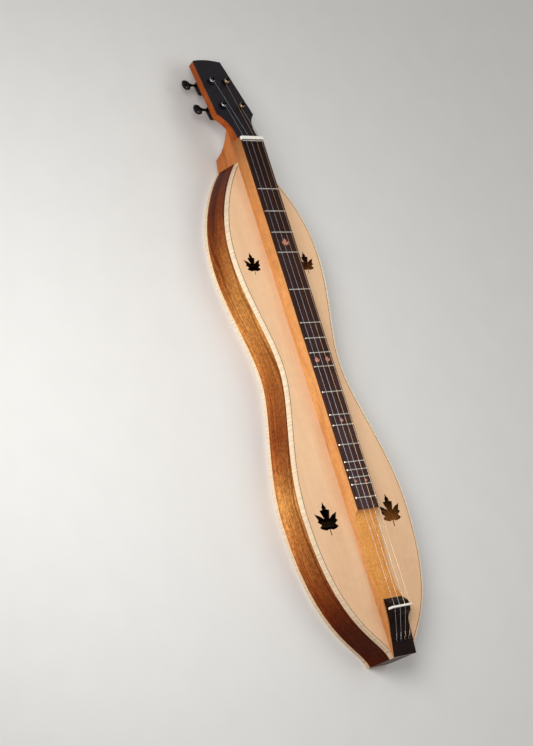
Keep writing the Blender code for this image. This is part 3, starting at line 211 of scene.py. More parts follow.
def wood(name, pale, dark, pore_colour, shine, rings, ring_mm, shares, fibre_mm, pores, curl, polish, coat,
         bent=False, bookmatched=False, gloss=0.5):
    """shares: rings, fibres, patches. pores: width, length, amount. curl: spacing, height, strength."""
    material, tree, shader, mm = new_material(
        name, Coat_Weight=coat, Coat_Roughness=0.10, Anisotropic=0.8, Specular_Tint=linear(shine),
        Specular_IOR_Level=gloss)
    if bent:
        # The grain of a bent strip follows its bend, so the place across the body counts for nearly nothing
        mm = add(tree, "ShaderNodeVectorMath", {0: mm, 1: (1, 0.02, 1)}, operation="MULTIPLY").outputs[0]
    if bookmatched:
        # Each half of the plate mirrors the other
        part = add(tree, "ShaderNodeSeparateXYZ", {0: mm}).outputs
        from_middle = add(tree, "ShaderNodeMath", {0: part["Y"]}, operation="ABSOLUTE").outputs[0]
        mirrored = add(tree, "ShaderNodeCombineXYZ", {"X": part["X"], "Y": from_middle, "Z": part["Z"]})
        mm = mirrored.outputs[0]
    warp = add(tree, "ShaderNodeTexNoise",
               {"Vector": stretch(tree, mm, wander_cell), "Scale": 1.0, "Detail": 2.0})
    line = add(tree, "ShaderNodeVectorMath", {0: mm, 1: rings}, operation="DOT_PRODUCT")
    wandered = add(tree, "ShaderNodeMath",
                   {0: warp.outputs[0], 1: ring_mm * ring_wander, 2: line.outputs["Value"]},
                   operation="MULTIPLY_ADD")
    count = add(tree, "ShaderNodeMath", {0: wandered.outputs[0], 1: ring_mm}, operation="DIVIDE")
    ring = add(tree, "ShaderNodeTexNoise",
               {"W": count.outputs[0], "Scale": 1.0, "Detail": 2.0, "Roughness": 0.6}, noise_dimensions="1D")
    fibre = add(tree, "ShaderNodeTexNoise",
                {"Vector": stretch(tree, mm, (fibre_length, fibre_mm, fibre_mm)), "Scale": 1.0,
                 "Detail": 3.0, "Roughness": 0.6})
    patch = add(tree, "ShaderNodeTexNoise",
                {"Vector": stretch(tree, mm, patch_cell), "Scale": 1.0, "Detail": 3.0})
    # A noise stays close to its middle, so each one is widened about 0.5 by its own share
    tone = 0.5
    for layer, share in zip((ring, fibre, patch), shares):
        wide = add(tree, "ShaderNodeMath", {0: layer.outputs[0], 1: 0.5}, operation="SUBTRACT")
        tone = add(tree, "ShaderNodeMath", {0: wide.outputs[0], 1: share * 2, 2: tone},
                   operation="MULTIPLY_ADD").outputs[0]
    body = add(tree, "ShaderNodeMix", {0: tone, 6: linear(pale), 7: linear(dark)}, data_type="RGBA")
    # Pores are short dark channels that lie along the grain
    pore_width, pore_length, pore_amount = pores
    fleck = add(tree, "ShaderNodeTexNoise",
                {"Vector": stretch(tree, mm, (pore_length, pore_width, pore_width)), "Scale": 1.0,
                 "Detail": 1.0})
    pore = add(tree, "ShaderNodeMapRange",
               {"Value": fleck.outputs[0], "From Min": pore_limits[0], "From Max": pore_limits[1],
                "To Max": pore_amount})
    pored = add(tree, "ShaderNodeMix", {0: pore.outputs[0], 6: body.outputs[2], 7: linear(pore_colour)},
                data_type="RGBA")
    # Curl is a wave in the fibres: bands across the grain that are lighter and darker
    curl_spacing, curl_height, curl_strength = curl
    band = add(tree, "ShaderNodeTexNoise",
               {"Vector": stretch(tree, mm, (curl_spacing, curl_height, curl_height)), "Scale": 1.0,
                "Detail": 1.0})
    shade = add(tree, "ShaderNodeMapRange",
                {"Value": band.outputs[0], "From Min": noise_low, "From Max": noise_high,
                 "To Min": 1 - curl_strength, "To Max": 1 + curl_strength})
    curled = add(tree, "ShaderNodeVectorMath", {0: pored.outputs[2], "Scale": shade.outputs[0]},
                 operation="SCALE")
    rough = add(tree, "ShaderNodeMapRange",
                {"Value": fibre.outputs[0], "From Min": noise_low, "From Max": noise_high,
                 "To Min": polish * 0.85, "To Max": polish * 1.2})
    relief = add(tree, "ShaderNodeMath", {0: fibre.outputs[0], 1: 0.4, 2: pore.outputs[0]},
                 operation="MULTIPLY_ADD")
    bump = add(tree, "ShaderNodeBump", {"Height": relief.outputs[0], "Strength": 0.25, "Distance": 0.00004},
               invert=True)
    faces = add(tree, "ShaderNodeNewGeometry").outputs["Normal"]
    across = add(tree, "ShaderNodeVectorMath", {0: faces, 1: grain}, operation="CROSS_PRODUCT")
    link_look(tree, shader, Base_Color=curled.outputs[0], Roughness=rough.outputs[0],
              Normal=bump.outputs[0], Tangent=across.outputs[0])
    return material


def paint_over(material, change):
    """Replace a material's colour by what a function makes of its tree, its colour and the place."""
    tree = material.node_tree
    colour = tree.nodes["Principled BSDF"].inputs["Base Color"]
    place = add(tree, "ShaderNodeSeparateXYZ", {0: add(tree, "ShaderNodeTexCoord").outputs["Object"]})
    tree.links.new(change(tree, colour.links[0].from_socket, place.outputs), colour)


# A tone along the length, of the wood and of painted shade and sheen, is a ramp from one of these places to
# the other, in metres
ramp_start, ramp_end = -0.4, 0.4


def tone_and_shade_along(*levels, green=1.4, blue=1.7):
    """A change that makes a wood darker or lighter along its length, from (x in metres, level) pairs: its
    own tone, painted shade where the light falls off, and painted sheen.
    """
    def change(tree, colour, place):
        share = add(tree, "ShaderNodeMapRange",
                    {"Value": place["X"], "From Min": ramp_start, "From Max": ramp_end})
        ramp = add(tree, "ShaderNodeValToRGB", {0: share.outputs[0]})
        stops = ramp.color_ramp.elements
        while len(stops) < len(levels):
            stops.new(0.5)
        for stop, (x, level) in zip(stops, levels):
            stop.position = (x - ramp_start) / (ramp_end - ramp_start)
            # Where a brown wood is darker, in its own tone or in painted shade, it is also redder, so green
            # and blue fall faster than red
            stop.color = (level, level ** green, level ** blue, 1)
        toned = add(tree, "ShaderNodeVectorMath", {0: colour, 1: ramp.outputs[0]}, operation="MULTIPLY")
        return toned.outputs[0]
    return change


def finish(material, *names):
    """Give CAD nodes a material through their own slots."""
    for name in names:
        for slot in nodes[name].material_slots:
            slot.material = material
    print(material.name, "on", len(names), "pieces")


# %% [markdown]
# ### Spruce
# The soundboard is quarter-sawn spruce under satin lacquer. Its rings stand on edge, so they show
# as fine straight lines, and the eye reads them as a silky, even field. It is two boards that
# mirror each other. It is painted a little darker towards both ends, as shade where the light
# falls off.

# %% Spruce
spruce = wood("satin_lacquered_spruce", "FAD6AE", "E0AF82", "C08F5C", "FFE9CF", rings=(0, 1, 0),
              ring_mm=1.2, shares=(0.45, 0.30, 0.35), fibre_mm=0.8, pores=(0.25, 18.0, 0.10),
              curl=(9.0, 16.0, 0.02), polish=0.45, coat=0.06, bookmatched=True)
# The soundboard's top face is at 52 mm
below_top_face = 0.0518


def charred_walls_and_shaded_underside(tree, colour, place):
    """The sound holes' walls, browned by the laser that cuts such leaves, and the underside, painted as dark
    as the shade inside the body.
    """
    # Below the top face: the charred hole walls, and the underside in painted shade
    below = add(tree, "ShaderNodeMath", {0: place["Z"], 1: below_top_face}, operation="LESS_THAN")
    return add(tree, "ShaderNodeMix", {0: below.outputs[0], 6: colour, 7: linear("1E120A")},
               data_type="RGBA").outputs[2]


paint_over(spruce, charred_walls_and_shaded_underside)
# Painted shade: a little darker towards both ends, where the light falls off
paint_over(spruce, tone_and_shade_along((-0.36, 0.86), (-0.20, 0.93), (-0.08, 0.99), (0.30, 1.0), (0.36, 0.95)))
finish(spruce, "soundboard")

# %% [markdown]
# The braces are spruce too, glued inside. They are bare and brown with age. They are also painted
# darker still as shade, because no light falls on them but what comes through the sound holes.

# %% Braces
# Brown with age, and painted darker still as shade inside the body
aged_and_shaded_spruce = wood("bare_aged_and_shaded_spruce", "4E3A28", "36261A", "241810", "806850", rings=(0, 1, 0), ring_mm=1.6,
                   shares=(0.6, 0.3, 0.4), fibre_mm=0.8, pores=(0.25, 18.0, 0.10), curl=(9.0, 16.0, 0.02),
                   polish=0.7, coat=0.0, gloss=0.2)
finish(aged_and_shaded_spruce, "soundboard_brace_1", "soundboard_brace_2", "back_brace_1", "back_brace_2")

# %% [markdown]
# ### Sides and back
# The bent sides are a golden brown wood with dark streaks that run round the body, flecks of open
# pores, and a curl that shimmers under the lacquer. A bent side keeps its streaks at one height, so
# its rings follow each other upwards. A darker streak runs below half height through the half near
# the head. The block that closes the tail end is dressed in the same wood.
#
# The sides are also toned along their length: darker towards both ends of the body, and between its
# waist and its widest part. Some of that is the wood's own tone. The rest is painted light: painted
# shade where the light falls off towards the ends, and painted sheen in the bright bands where the
# sides catch the light. So under another light the ends look darker than the real wood. The same
# holds, more weakly, for the painted shade towards the ends of the other long pieces.

# %% The sides
# Its pores are 0.2 mm wide, too fine for this distance, so they are drawn 1.2 mm wide
side_wood = wood("lacquered_striped_side_wood", "FFBA66", "A65C22", "6A3414", "E8A860", rings=(0, 0, 1),
                 ring_mm=4.0, shares=(0.9, 0.6, 0.7), fibre_mm=0.7, pores=(1.2, 3.5, 0.55),
                 curl=(3.5, 4.0, 0.22), polish=0.42, coat=0.03, bent=True, gloss=0.1)
# In metres: where the side starts and stops getting darker upwards, the streak's middle height, how far
# from it the streak starts and stops fading, and between which places along the body it comes in
darker_from_z, darker_to_z = 0.012, 0.040
streak_z, fade_from, fade_to = 0.018, 0.002, 0.012
streak_from_x, streak_to_x = 0.05, 0.30


def dark_streak(tree, colour, place):
    """Darker upwards, and with a streak below half height, strongest at the head end, none at the waist."""
    by_height = add(tree, "ShaderNodeMapRange",
                    {"Value": place["Z"], "From Min": darker_from_z, "From Max": darker_to_z,
                     "To Min": 1.08, "To Max": 0.70})
    darkened = add(tree, "ShaderNodeVectorMath", {0: colour, "Scale": by_height.outputs[0]},
                   operation="SCALE")
    middle = add(tree, "ShaderNodeMath", {0: place["Z"], 1: streak_z}, operation="SUBTRACT")
    away = add(tree, "ShaderNodeMath", {0: middle.outputs[0]}, operation="ABSOLUTE")
    near = add(tree, "ShaderNodeMapRange",
               {"Value": away.outputs[0], "From Min": fade_from, "From Max": fade_to,
                "To Min": 1.0, "To Max": 0.0})
    headward = add(tree, "ShaderNodeMapRange",
                   {"Value": place["X"], "From Min": streak_from_x, "From Max": streak_to_x, "To Max": 0.6})
    amount = add(tree, "ShaderNodeMath", {0: near.outputs[0], 1: headward.outputs[0]}, operation="MULTIPLY")
    return add(tree, "ShaderNodeMix", {0: amount.outputs[0], 6: darkened.outputs[0], 7: linear("4A1E08")},
               data_type="RGBA").outputs[2]


paint_over(side_wood, dark_streak)
# The wood's own tone, with painted shade towards both ends and painted sheen in the bright bands
paint_over(side_wood, tone_and_shade_along(
    (-0.36, 0.09), (-0.31, 0.13), (-0.285, 0.19), (-0.25, 0.35), (-0.18, 0.68), (-0.125, 0.92),
    (-0.08, 0.54), (-0.04, 0.36), (0.03, 0.54), (0.09, 0.77), (0.14, 0.89), (0.20, 0.70), (0.25, 0.43),
    (0.29, 0.28), (0.345, 0.18), green=1.65, blue=2.0))
finish(side_wood, "rib_left", "rib_right", "tail_block")

# %% [markdown]
# The back is two boards of the same wood, opened like a book and glued along the middle, so each
# half mirrors the other. A pattern in the distance from the middle gives that, and a dark line
# marks the seam. The inner face is unlit and is seen only through the sound holes, so it is
# painted dark brown as shade.

# %% The back
back_wood = wood("lacquered_striped_back_wood", "DC9448", "7E3814", "3A1608", "E8A860", rings=(0, 1, 0),
                 ring_mm=6.0, shares=(0.9, 0.6, 0.7), fibre_mm=1.0, pores=(0.45, 6.0, 0.6),
                 curl=(6.0, 24.0, 0.10), polish=0.42, coat=0.08, bookmatched=True)
half_glue_line = 0.0003
# The back is 3 mm thick, so this height is just below its inner face
below_inner_face = 0.0025


def seam_and_shaded_inner_face(tree, colour, place):
    """A dark line along the middle, and the inner face painted dark brown as shade."""
    from_middle = add(tree, "ShaderNodeMath", {0: place["Y"]}, operation="ABSOLUTE")
    seam_line = add(tree, "ShaderNodeMath", {0: from_middle.outputs[0], 1: half_glue_line},
                    operation="LESS_THAN")
    seamed = add(tree, "ShaderNodeMix", {0: seam_line.outputs[0], 6: colour, 7: linear("2A1208")},
                 data_type="RGBA")
    # The inner face is painted dark as shade, since it is unlit
    inner = add(tree, "ShaderNodeMath", {0: place["Z"], 1: below_inner_face}, operation="GREATER_THAN")
    return add(tree, "ShaderNodeMix", {0: inner.outputs[0], 6: seamed.outputs[2], 7: linear("2A1A12")},
               data_type="RGBA").outputs[2]


paint_over(back_wood, seam_and_shaded_inner_face)
finish(back_wood, "back_plate")

# %% [markdown]
# ### Curly maple
# The bindings are strips of pale maple with a tight curl: soft bands straight across the strip,
# one every few millimetres. They are painted a little darker towards both ends, as shade where
# the light falls off.

# %% Curly maple
maple = wood("gloss_lacquered_curly_maple", "FCE8CC", "EED2AA", "C79A68", "FFEFDA", rings=(0, 0, 1),
             ring_mm=3.0, shares=(0.2, 0.3, 0.5), fibre_mm=0.8, pores=(0.25, 5.0, 0.10),
             curl=(2.4, 400.0, 0.18), polish=0.36, coat=0.10, bent=True)
# Painted shade: a little darker towards both ends, where the light falls off
paint_over(maple, tone_and_shade_along((-0.36, 0.70), (-0.25, 0.84), (-0.12, 0.97), (0.20, 1.0), (0.35, 0.85)))
finish(maple, "top_binding_left", "top_binding_right", "back_binding_left", "back_binding_right")

# %% [markdown]
# ### Mahogany
# The fretboard body and the peghead are mahogany: orange brown, with short dark pores. The long
# ramp of the strum hollow cuts across the grain and shows a mottled figure. The peghead is a redder
# and darker piece. The fretboard body is painted darker towards it and towards the tail, as shade
# where the light falls off. The heel block between the peghead and the body is lighter than what
# it joins.

# %% Mahogany
mahogany = wood("satin_lacquered_mahogany", "F6B878", "CA8444", "7A3D16", "F0B070", rings=(0, 1, 0.3),
                ring_mm=3.0, shares=(0.30, 0.7, 0.5), fibre_mm=1.3, pores=(0.35, 5.0, 0.5),
                curl=(9.0, 12.0, 0.05), polish=0.40, coat=0.08)
# Painted shade: darker towards the head and the tail, where the light falls off
paint_over(mahogany, tone_and_shade_along((-0.36, 0.66), (-0.285, 0.82), (-0.25, 0.97), (0.0, 1.0), (0.20, 1.0),
                                 (0.29, 0.86), (0.34, 0.70), (0.385, 0.42)))
# The strum hollow, inside the side faces of the fretboard body
hollow_tail_x, hollow_head_x, hollow_half_width = -0.292, -0.163, 0.0193
# Its figure, in cells to a metre: about 2.5 mm long and 1.4 mm wide and high
figure_cells = (400, 700, 700)


def golden_figure(tree, colour, place):
    """The strum hollow cuts across the grain, so its figure is mottled and golden."""
    spot = add(tree, "ShaderNodeCombineXYZ", {axis: place[axis] for axis in "XYZ"})
    cells = add(tree, "ShaderNodeVectorMath", {0: spot.outputs[0], 1: figure_cells}, operation="MULTIPLY")
    mottle = add(tree, "ShaderNodeTexNoise",
                 {"Vector": cells.outputs[0], "Scale": 1.0, "Detail": 3.0, "Roughness": 0.6})
    light = add(tree, "ShaderNodeMapRange",
                {"Value": mottle.outputs[0], "From Min": 0.35, "From Max": 0.65,
                 "To Min": 0.86, "To Max": 1.30})
    gilt = add(tree, "ShaderNodeVectorMath", {0: colour, 1: (1.0, 0.92, 0.60)}, operation="MULTIPLY")
    gilt = add(tree, "ShaderNodeVectorMath", {0: gilt.outputs[0], "Scale": light.outputs[0]},
               operation="SCALE")
    before_head_end = add(tree, "ShaderNodeMath", {0: place["X"], 1: hollow_head_x}, operation="LESS_THAN")
    past_tail_end = add(tree, "ShaderNodeMath", {0: place["X"], 1: hollow_tail_x}, operation="GREATER_THAN")
    from_middle = add(tree, "ShaderNodeMath", {0: place["Y"]}, operation="ABSOLUTE")
    in_width = add(tree, "ShaderNodeMath", {0: from_middle.outputs[0], 1: hollow_half_width},
                   operation="LESS_THAN")
    inside = add(tree, "ShaderNodeMath", {0: before_head_end.outputs[0], 1: past_tail_end.outputs[0]},
                 operation="MULTIPLY")
    inside = add(tree, "ShaderNodeMath", {0: inside.outputs[0], 1: in_width.outputs[0]},
                 operation="MULTIPLY")
    return add(tree, "ShaderNodeMix", {0: inside.outputs[0], 6: colour, 7: gilt.outputs[0]},
               data_type="RGBA").outputs[2]


paint_over(mahogany, golden_figure)
peghead_wood = wood("satin_lacquered_dark_mahogany", "B85C28", "863A12", "4E220C", "D89458",
                    rings=(0, 1, 0.3), ring_mm=3.0, shares=(0.4, 0.5, 0.6), fibre_mm=0.6,
                    pores=(0.35, 5.0, 0.5), curl=(9.0, 7.0, 0.08), polish=0.40, coat=0.04, gloss=0.2)
heel_wood = wood("satin_lacquered_heel_wood", "D2854A", "A5561F", "7A4018", "F0B070", rings=(0, 0.5, 1),
                 ring_mm=4.0, shares=(0.3, 0.5, 0.6), fibre_mm=0.7, pores=(0.35, 6.0, 0.40),
                 curl=(12.0, 9.0, 0.06), polish=0.40, coat=0.06, gloss=0.3)
finish(mahogany, "fretboard_body")
finish(peghead_wood, "peghead")
finish(heel_wood, "heel_block")

# %% [markdown]
# ### Rosewood and ebony
# The fingerboard and the tail cap are dark rosewood, oiled and rubbed, with fine brown streaks and
# open pores that catch a soft light. The cap is the blacker of the two. The fingerboard is painted
# darker towards the nut, as shade where the light falls off. The peghead's overlay is ebony,
# nearly black.

# %% Rosewood and ebony
rosewood = wood("oiled_dark_rosewood", "684A48", "281A1B", "100A0A", "8A6A5C", rings=(0, 1, 0.4),
                ring_mm=2.2, shares=(0.6, 0.9, 0.5), fibre_mm=0.5, pores=(0.30, 8.0, 0.60),
                curl=(20.0, 10.0, 0.05), polish=0.40, coat=0.0, gloss=0.35)
ebony = wood("oiled_near_black_ebony", "28222A", "121014", "080606", "6E6870", rings=(0, 1, 0.4),
             ring_mm=2.2, shares=(0.3, 0.6, 0.5), fibre_mm=0.7, pores=(0.30, 8.0, 0.60),
             curl=(20.0, 10.0, 0.05), polish=0.34, coat=0.0, gloss=0.5)
cap_wood = wood("oiled_black_rosewood", "241614", "100A09", "060404", "6A5248", rings=(0, 1, 0.4),
                ring_mm=2.2, shares=(0.5, 0.8, 0.5), fibre_mm=0.6, pores=(0.30, 8.0, 0.60),
                curl=(20.0, 10.0, 0.05), polish=0.34, coat=0.0, gloss=0.12)
# Painted shade: darker towards the nut, where the light falls off
paint_over(rosewood, tone_and_shade_along((-0.17, 0.82), (-0.08, 0.68), (0.05, 0.50), (0.15, 0.44), (0.30, 0.36),
                                 (0.38, 0.16), green=1.15, blue=1.2))
finish(rosewood, "fingerboard")
finish(cap_wood, "tail_cap")
finish(ebony, "peghead_overlay")

# %% [markdown]
# ## Bone
# The nut and the saddle are bleached bone, sawn and polished. Bone is off-white, slightly
# translucent, and has faint straight canals along its length.

# %% Bone
bone, tree, shader, mm = new_material("polished_bleached_bone", Subsurface_Weight=0.15,
                                      Subsurface_Scale=0.001, Coat_Weight=0.3, Coat_Roughness=0.08)
lines = add(tree, "ShaderNodeVectorMath", {0: mm, 1: (2.5, 0.12, 2.5)}, operation="MULTIPLY")
canals = add(tree, "ShaderNodeTexNoise", {"Vector": lines.outputs[0], "Scale": 1.0, "Detail": 3.0})
tint = add(tree, "ShaderNodeMix", {0: canals.outputs[0], 6: linear("FCF9F2"), 7: linear("F0EADC")},
           data_type="RGBA")
rough = add(tree, "ShaderNodeMapRange", {"Value": canals.outputs[0], "To Min": 0.22, "To Max": 0.40})
bump = add(tree, "ShaderNodeBump", {"Height": canals.outputs[0], "Strength": 0.1, "Distance": 0.00003})
link_look(tree, shader, Base_Color=tint.outputs[2], Roughness=rough.outputs[0], Normal=bump.outputs[0])
finish(bone, "nut", "saddle")

# %% [markdown]
# ## Metals
# Fret wire is nickel silver, filed and polished along its length. The plain strings are drawn
# steel, with a soft shine from the fine lines that drawing leaves. The other two have a bronze wrap
# wire round a steel core. The tuners are die-cast zinc, plated black. One function draws all but
# the wrap from a colour, the direction and size of the polishing lines, and a roughness.


# %% A function for the metals
def metal(name, pale, dark, lines, polish, bump_height):
    """lines: how many scratches to a millimetre, along each axis."""
    material, tree, shader, mm = new_material(name, Metallic=1.0)
    drawn = add(tree, "ShaderNodeVectorMath", {0: mm, 1: lines}, operation="MULTIPLY")
    scratch = add(tree, "ShaderNodeTexNoise", {"Vector": drawn.outputs[0], "Scale": 1.0, "Detail": 3.0})
    tint = add(tree, "ShaderNodeMix", {0: scratch.outputs[0], 6: linear(pale), 7: linear(dark)},
               data_type="RGBA")
    rough = add(tree, "ShaderNodeMapRange",
                {"Value": scratch.outputs[0], "From Min": noise_low, "From Max": noise_high,
                 "To Min": polish * 0.75, "To Max": polish * 1.3})
    bump = add(tree, "ShaderNodeBump",
               {"Height": scratch.outputs[0], "Strength": 0.2, "Distance": bump_height})
    link_look(tree, shader, Base_Color=tint.outputs[2], Roughness=rough.outputs[0], Normal=bump.outputs[0])
    return material


# %% Nickel silver, steel and black plating
nickel = metal("polished_nickel_silver", "C8C2B8", "9C968C", lines=(3.0, 0.1, 3.0), polish=0.22,
               bump_height=0.00001)
steel = metal("drawn_steel_wire", "ECECEE", "D0D0D4", lines=(0.1, 4.0, 4.0), polish=0.45,
              bump_height=0.000002)
black_plate = metal("black_plated_zinc", "2E2C2C", "1C1B1C", lines=(0.6, 0.6, 0.6), polish=0.24,
                    bump_height=0.00001)
finish(nickel, "fret_zero", *[f"fret_{number:02d}" for number in range(1, 19)])
finish(black_plate, *[f"tuner_{piece}_{number}" for piece in ("housing", "knob", "post")
                      for number in range(1, 5)])

# %% Bronze wrap wire
bronze, tree, shader, mm = new_material("bronze_wrap_wire", Metallic=1.0)
along = add(tree, "ShaderNodeAttribute", attribute_name="along").outputs["Fac"]
# The real wrap is 0.15 mm wire. It is drawn at 0.8 mm a turn, because finer turns vanish in the picture
drawn_turn = 0.0008
turns = add(tree, "ShaderNodeMath", {0: along, 1: math.tau / drawn_turn}, operation="MULTIPLY")
wave = add(tree, "ShaderNodeMath", {0: turns.outputs[0]}, operation="SINE")
ridge = add(tree, "ShaderNodeMapRange", {"Value": wave.outputs[0], "From Min": -1.0})
# The grooves between the turns are painted darker, as shade, and the crests paler
tint = add(tree, "ShaderNodeMix", {0: ridge.outputs[0], 6: linear("B58A5C"), 7: linear("FFE2BC")},
           data_type="RGBA")
rough = add(tree, "ShaderNodeMapRange", {"Value": ridge.outputs[0], "To Min": 0.45, "To Max": 0.28})
bump = add(tree, "ShaderNodeBump", {"Height": ridge.outputs[0], "Strength": 0.5, "Distance": 0.00005})
link_look(tree, shader, Base_Color=tint.outputs[2], Roughness=rough.outputs[0], Normal=bump.outputs[0])

# %% [markdown]
# ## A node tree that makes wire
# A string, its winding on the post and the loop on its pin are all wire along a path. The path is
# a chain of edges, and a Geometry Nodes tree turns it to a curve, sweeps a circle along it and
# closes the ends. The tree also stores how far along the wire each point is, which the bronze
# wrap reads. A curve with a bevel could do the sweep, but it could not store that number.


# %% The wire tree, and a function that runs a tree
def new_tree(name, inputs):
    """A tree with these inputs, its input node and its output node."""
    tree = bpy.data.node_groups.new(name, "GeometryNodeTree")
    tree.interface.new_socket("Geometry", in_out="INPUT", socket_type="NodeSocketGeometry")
    for label, kind in inputs.items():
        tree.interface.new_socket(label, in_out="INPUT", socket_type=kind)
    tree.interface.new_socket("Geometry", in_out="OUTPUT", socket_type="NodeSocketGeometry")
    return tree, add(tree, "NodeGroupInput"), add(tree, "NodeGroupOutput")


def end_tree(tree, geometry, given, made):
    """Make the geometry real, give it the tree's material and send it out."""
    real = add(tree, "GeometryNodeRealizeInstances", {"Geometry": geometry})
    painted = add(tree, "GeometryNodeSetMaterial",
                  {"Geometry": real.outputs[0], "Material": given.outputs["Material"]})
    tree.links.new(painted.outputs[0], made.inputs[0])


wire_tree, given, made = new_tree("Wire", {"Radius": "NodeSocketFloat", "Sides": "NodeSocketInt",
                                           "Material": "NodeSocketMaterial"})
curve = add(wire_tree, "GeometryNodeMeshToCurve", {"Mesh": given.outputs["Geometry"]})
length = add(wire_tree, "GeometryNodeSplineParameter")
stored = add(wire_tree, "GeometryNodeStoreNamedAttribute",
             {"Geometry": curve.outputs[0], "Name": "along", "Value": length.outputs["Length"]},
             data_type="FLOAT")
ring = add(wire_tree, "GeometryNodeCurvePrimitiveCircle",
           {"Resolution": given.outputs["Sides"], "Radius": given.outputs["Radius"]})
tube = add(wire_tree, "GeometryNodeCurveToMesh",
           {"Curve": stored.outputs[0], "Profile Curve": ring.outputs[0], "Fill Caps": True})
smooth = add(wire_tree, "GeometryNodeSetShadeSmooth", {"Geometry": tube.outputs[0]})
end_tree(wire_tree, smooth.outputs[0], given, made)
wire_sides = 12


def chain(name, points):
    """A mesh of points, each joined to the next."""
    path = bpy.data.meshes.new(f"{name}_path")
    edges = [(step, step + 1) for step in range(len(points) - 1)]
    path.from_pydata([tuple(point) for point in points], edges, [])
    return path


def run_tree(name, tree, mesh, values):
    """Run a tree on a mesh, and return the result as a piece with a plain mesh."""
    source = bpy.data.objects.new(f"{name}_source", mesh)
    bpy.context.scene.collection.objects.link(source)
    modifier = source.modifiers.new(tree.name, "NODES")
    modifier.node_group = tree
    for item in tree.interface.items_tree:
        if item.in_out == "INPUT" and item.name in values:
            modifier[item.identifier] = values[item.name]
    shown = source.evaluated_get(bpy.context.evaluated_depsgraph_get())
    result = bpy.data.meshes.new_from_object(shown)
    bpy.data.objects.remove(source, do_unlink=True)
    result.name = name
    piece = bpy.data.objects.new(name, result)
    bpy.context.scene.collection.objects.link(piece)
    print(name, len(result.polygons), "faces")
    return piece


def wire(name, points, diameter, material):
    """Wire along points, as a piece."""
    values = {"Radius": diameter / 2, "Sides": wire_sides, "Material": material}
    return run_tree(name, wire_tree, chain(name, points), values)


# %% [markdown]
# ## The purfling
# A thin dark line runs round the top between the binding and the soundboard. A maker saws a
# narrow channel there and glues a strip of dyed veneer in it. Here one node tree sweeps a flat
# profile along the body's edge, moved inwards so that the strip covers that join. The curve's
# normals point up, so the strip lies flat all the way round.

# %% The body's edge
body_depth = 0.0520
board_half_width = 0.0195
edge_corners = {"heel": (0.3552, 0.0194), "upper": (0.2135, 0.0793), "waist": (0.0495, 0.0546),
                "lower": (-0.1520, 0.0949), "tail": (-0.3585, 0.0194)}
# How far the handles of each curve reach, as shares of the run from one corner to the next
heel_handle, shoulder_handle = 0.065, 0.567
upper_handle, waist_head_handle = 0.395, 0.325
waist_tail_handle, lower_head_handle = 0.25, 0.38
lower_tail_handle, tail_handle = 0.77, 0.14
tail_flare = 0.0059
curve_steps = 24


def bezier(first, handle, other_handle, last):
    """Points along one curve, both ends too."""
    weights = ((1 - step / curve_steps, step / curve_steps) for step in range(curve_steps + 1))
    return [tuple(a ** 3 * p + 3 * a * a * b * q + 3 * a * b * b * r + b ** 3 * s
                  for p, q, r, s in zip(first, handle, other_handle, last)) for a, b in weights]


def body_edge(inset):
    """Half the body's edge on the player's side, moved inwards, from the heel to the tail."""
    heel, upper, waist, lower, tail = edge_corners.values()
    shoulder = (upper[0] + shoulder_handle * (heel[0] - upper[0]), upper[1])
    near_heel = tuple(start + heel_handle * (end - start) for start, end in zip(heel, shoulder))
    upper_run, waist_run, tail_run = upper[0] - waist[0], waist[0] - lower[0], lower[0] - tail[0]
    curves = (
        (heel, near_heel, shoulder, upper),
        (upper, (upper[0] - upper_handle * upper_run, upper[1]),
         (waist[0] + waist_head_handle * upper_run, waist[1]), waist),
        (waist, (waist[0] - waist_tail_handle * waist_run, waist[1]),
         (lower[0] + lower_head_handle * waist_run, lower[1]), lower),
        (lower, (lower[0] - lower_tail_handle * tail_run, lower[1]),
         (tail[0] + tail_handle * tail_run, tail[1] + tail_flare), tail),
    )
    points = [heel]
    for corners_and_handles in curves:
        points += bezier(*corners_and_handles)[1:]
    moved = []
    for number, (x, y) in enumerate(points):
        before, after = points[max(number - 1, 0)], points[min(number + 1, len(points) - 1)]
        along = Vector((after[0] - before[0], after[1] - before[1])).normalized()
        moved.append((x - inset * along.y, y + inset * along.x))
    return moved


# %% Sweep the purfling
strip_tree, given, made = new_tree("Flat strip", {
    "Width": "NodeSocketFloat", "Thickness": "NodeSocketFloat", "Material": "NodeSocketMaterial"})
curve = add(strip_tree, "GeometryNodeMeshToCurve", {"Mesh": given.outputs["Geometry"]})
upright = add(strip_tree, "GeometryNodeSetCurveNormal", {"Curve": curve.outputs[0]}, mode="Z_UP")
profile = add(strip_tree, "GeometryNodeCurvePrimitiveQuadrilateral",
              {"Width": given.outputs["Width"], "Height": given.outputs["Thickness"]})
swept = add(strip_tree, "GeometryNodeCurveToMesh",
            {"Curve": upright.outputs[0], "Profile Curve": profile.outputs[0], "Fill Caps": True})
end_tree(strip_tree, swept.outputs[0], given, made)

purfling_wood = wood("dyed_veneer", "4E4038", "30261F", "1C1511", "8A7A6C", rings=(0, 0, 1), ring_mm=2.0,
                     shares=(0.3, 0.6, 0.5), fibre_mm=0.6, pores=(0.3, 6.0, 0.4), curl=(9.0, 9.0, 0.05),
                     polish=0.5, coat=0.05, bent=True, gloss=0.3)
# The strip's middle is this far inside the edge, and it stops short of the fretboard's sides
purfling_inset = 0.0028
purfling_clearance = 0.0004
for side, name in ((1, "left"), (-1, "right")):
    line = [(x, side * y, body_depth) for x, y in body_edge(purfling_inset)
            if y > board_half_width + purfling_clearance]
    purfling = run_tree(f"purfling_{name}", strip_tree, chain(f"purfling_{name}", line),
                        {"Width": 0.0008, "Thickness": 0.0001, "Material": purfling_wood})
    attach(purfling, "dulcimer")

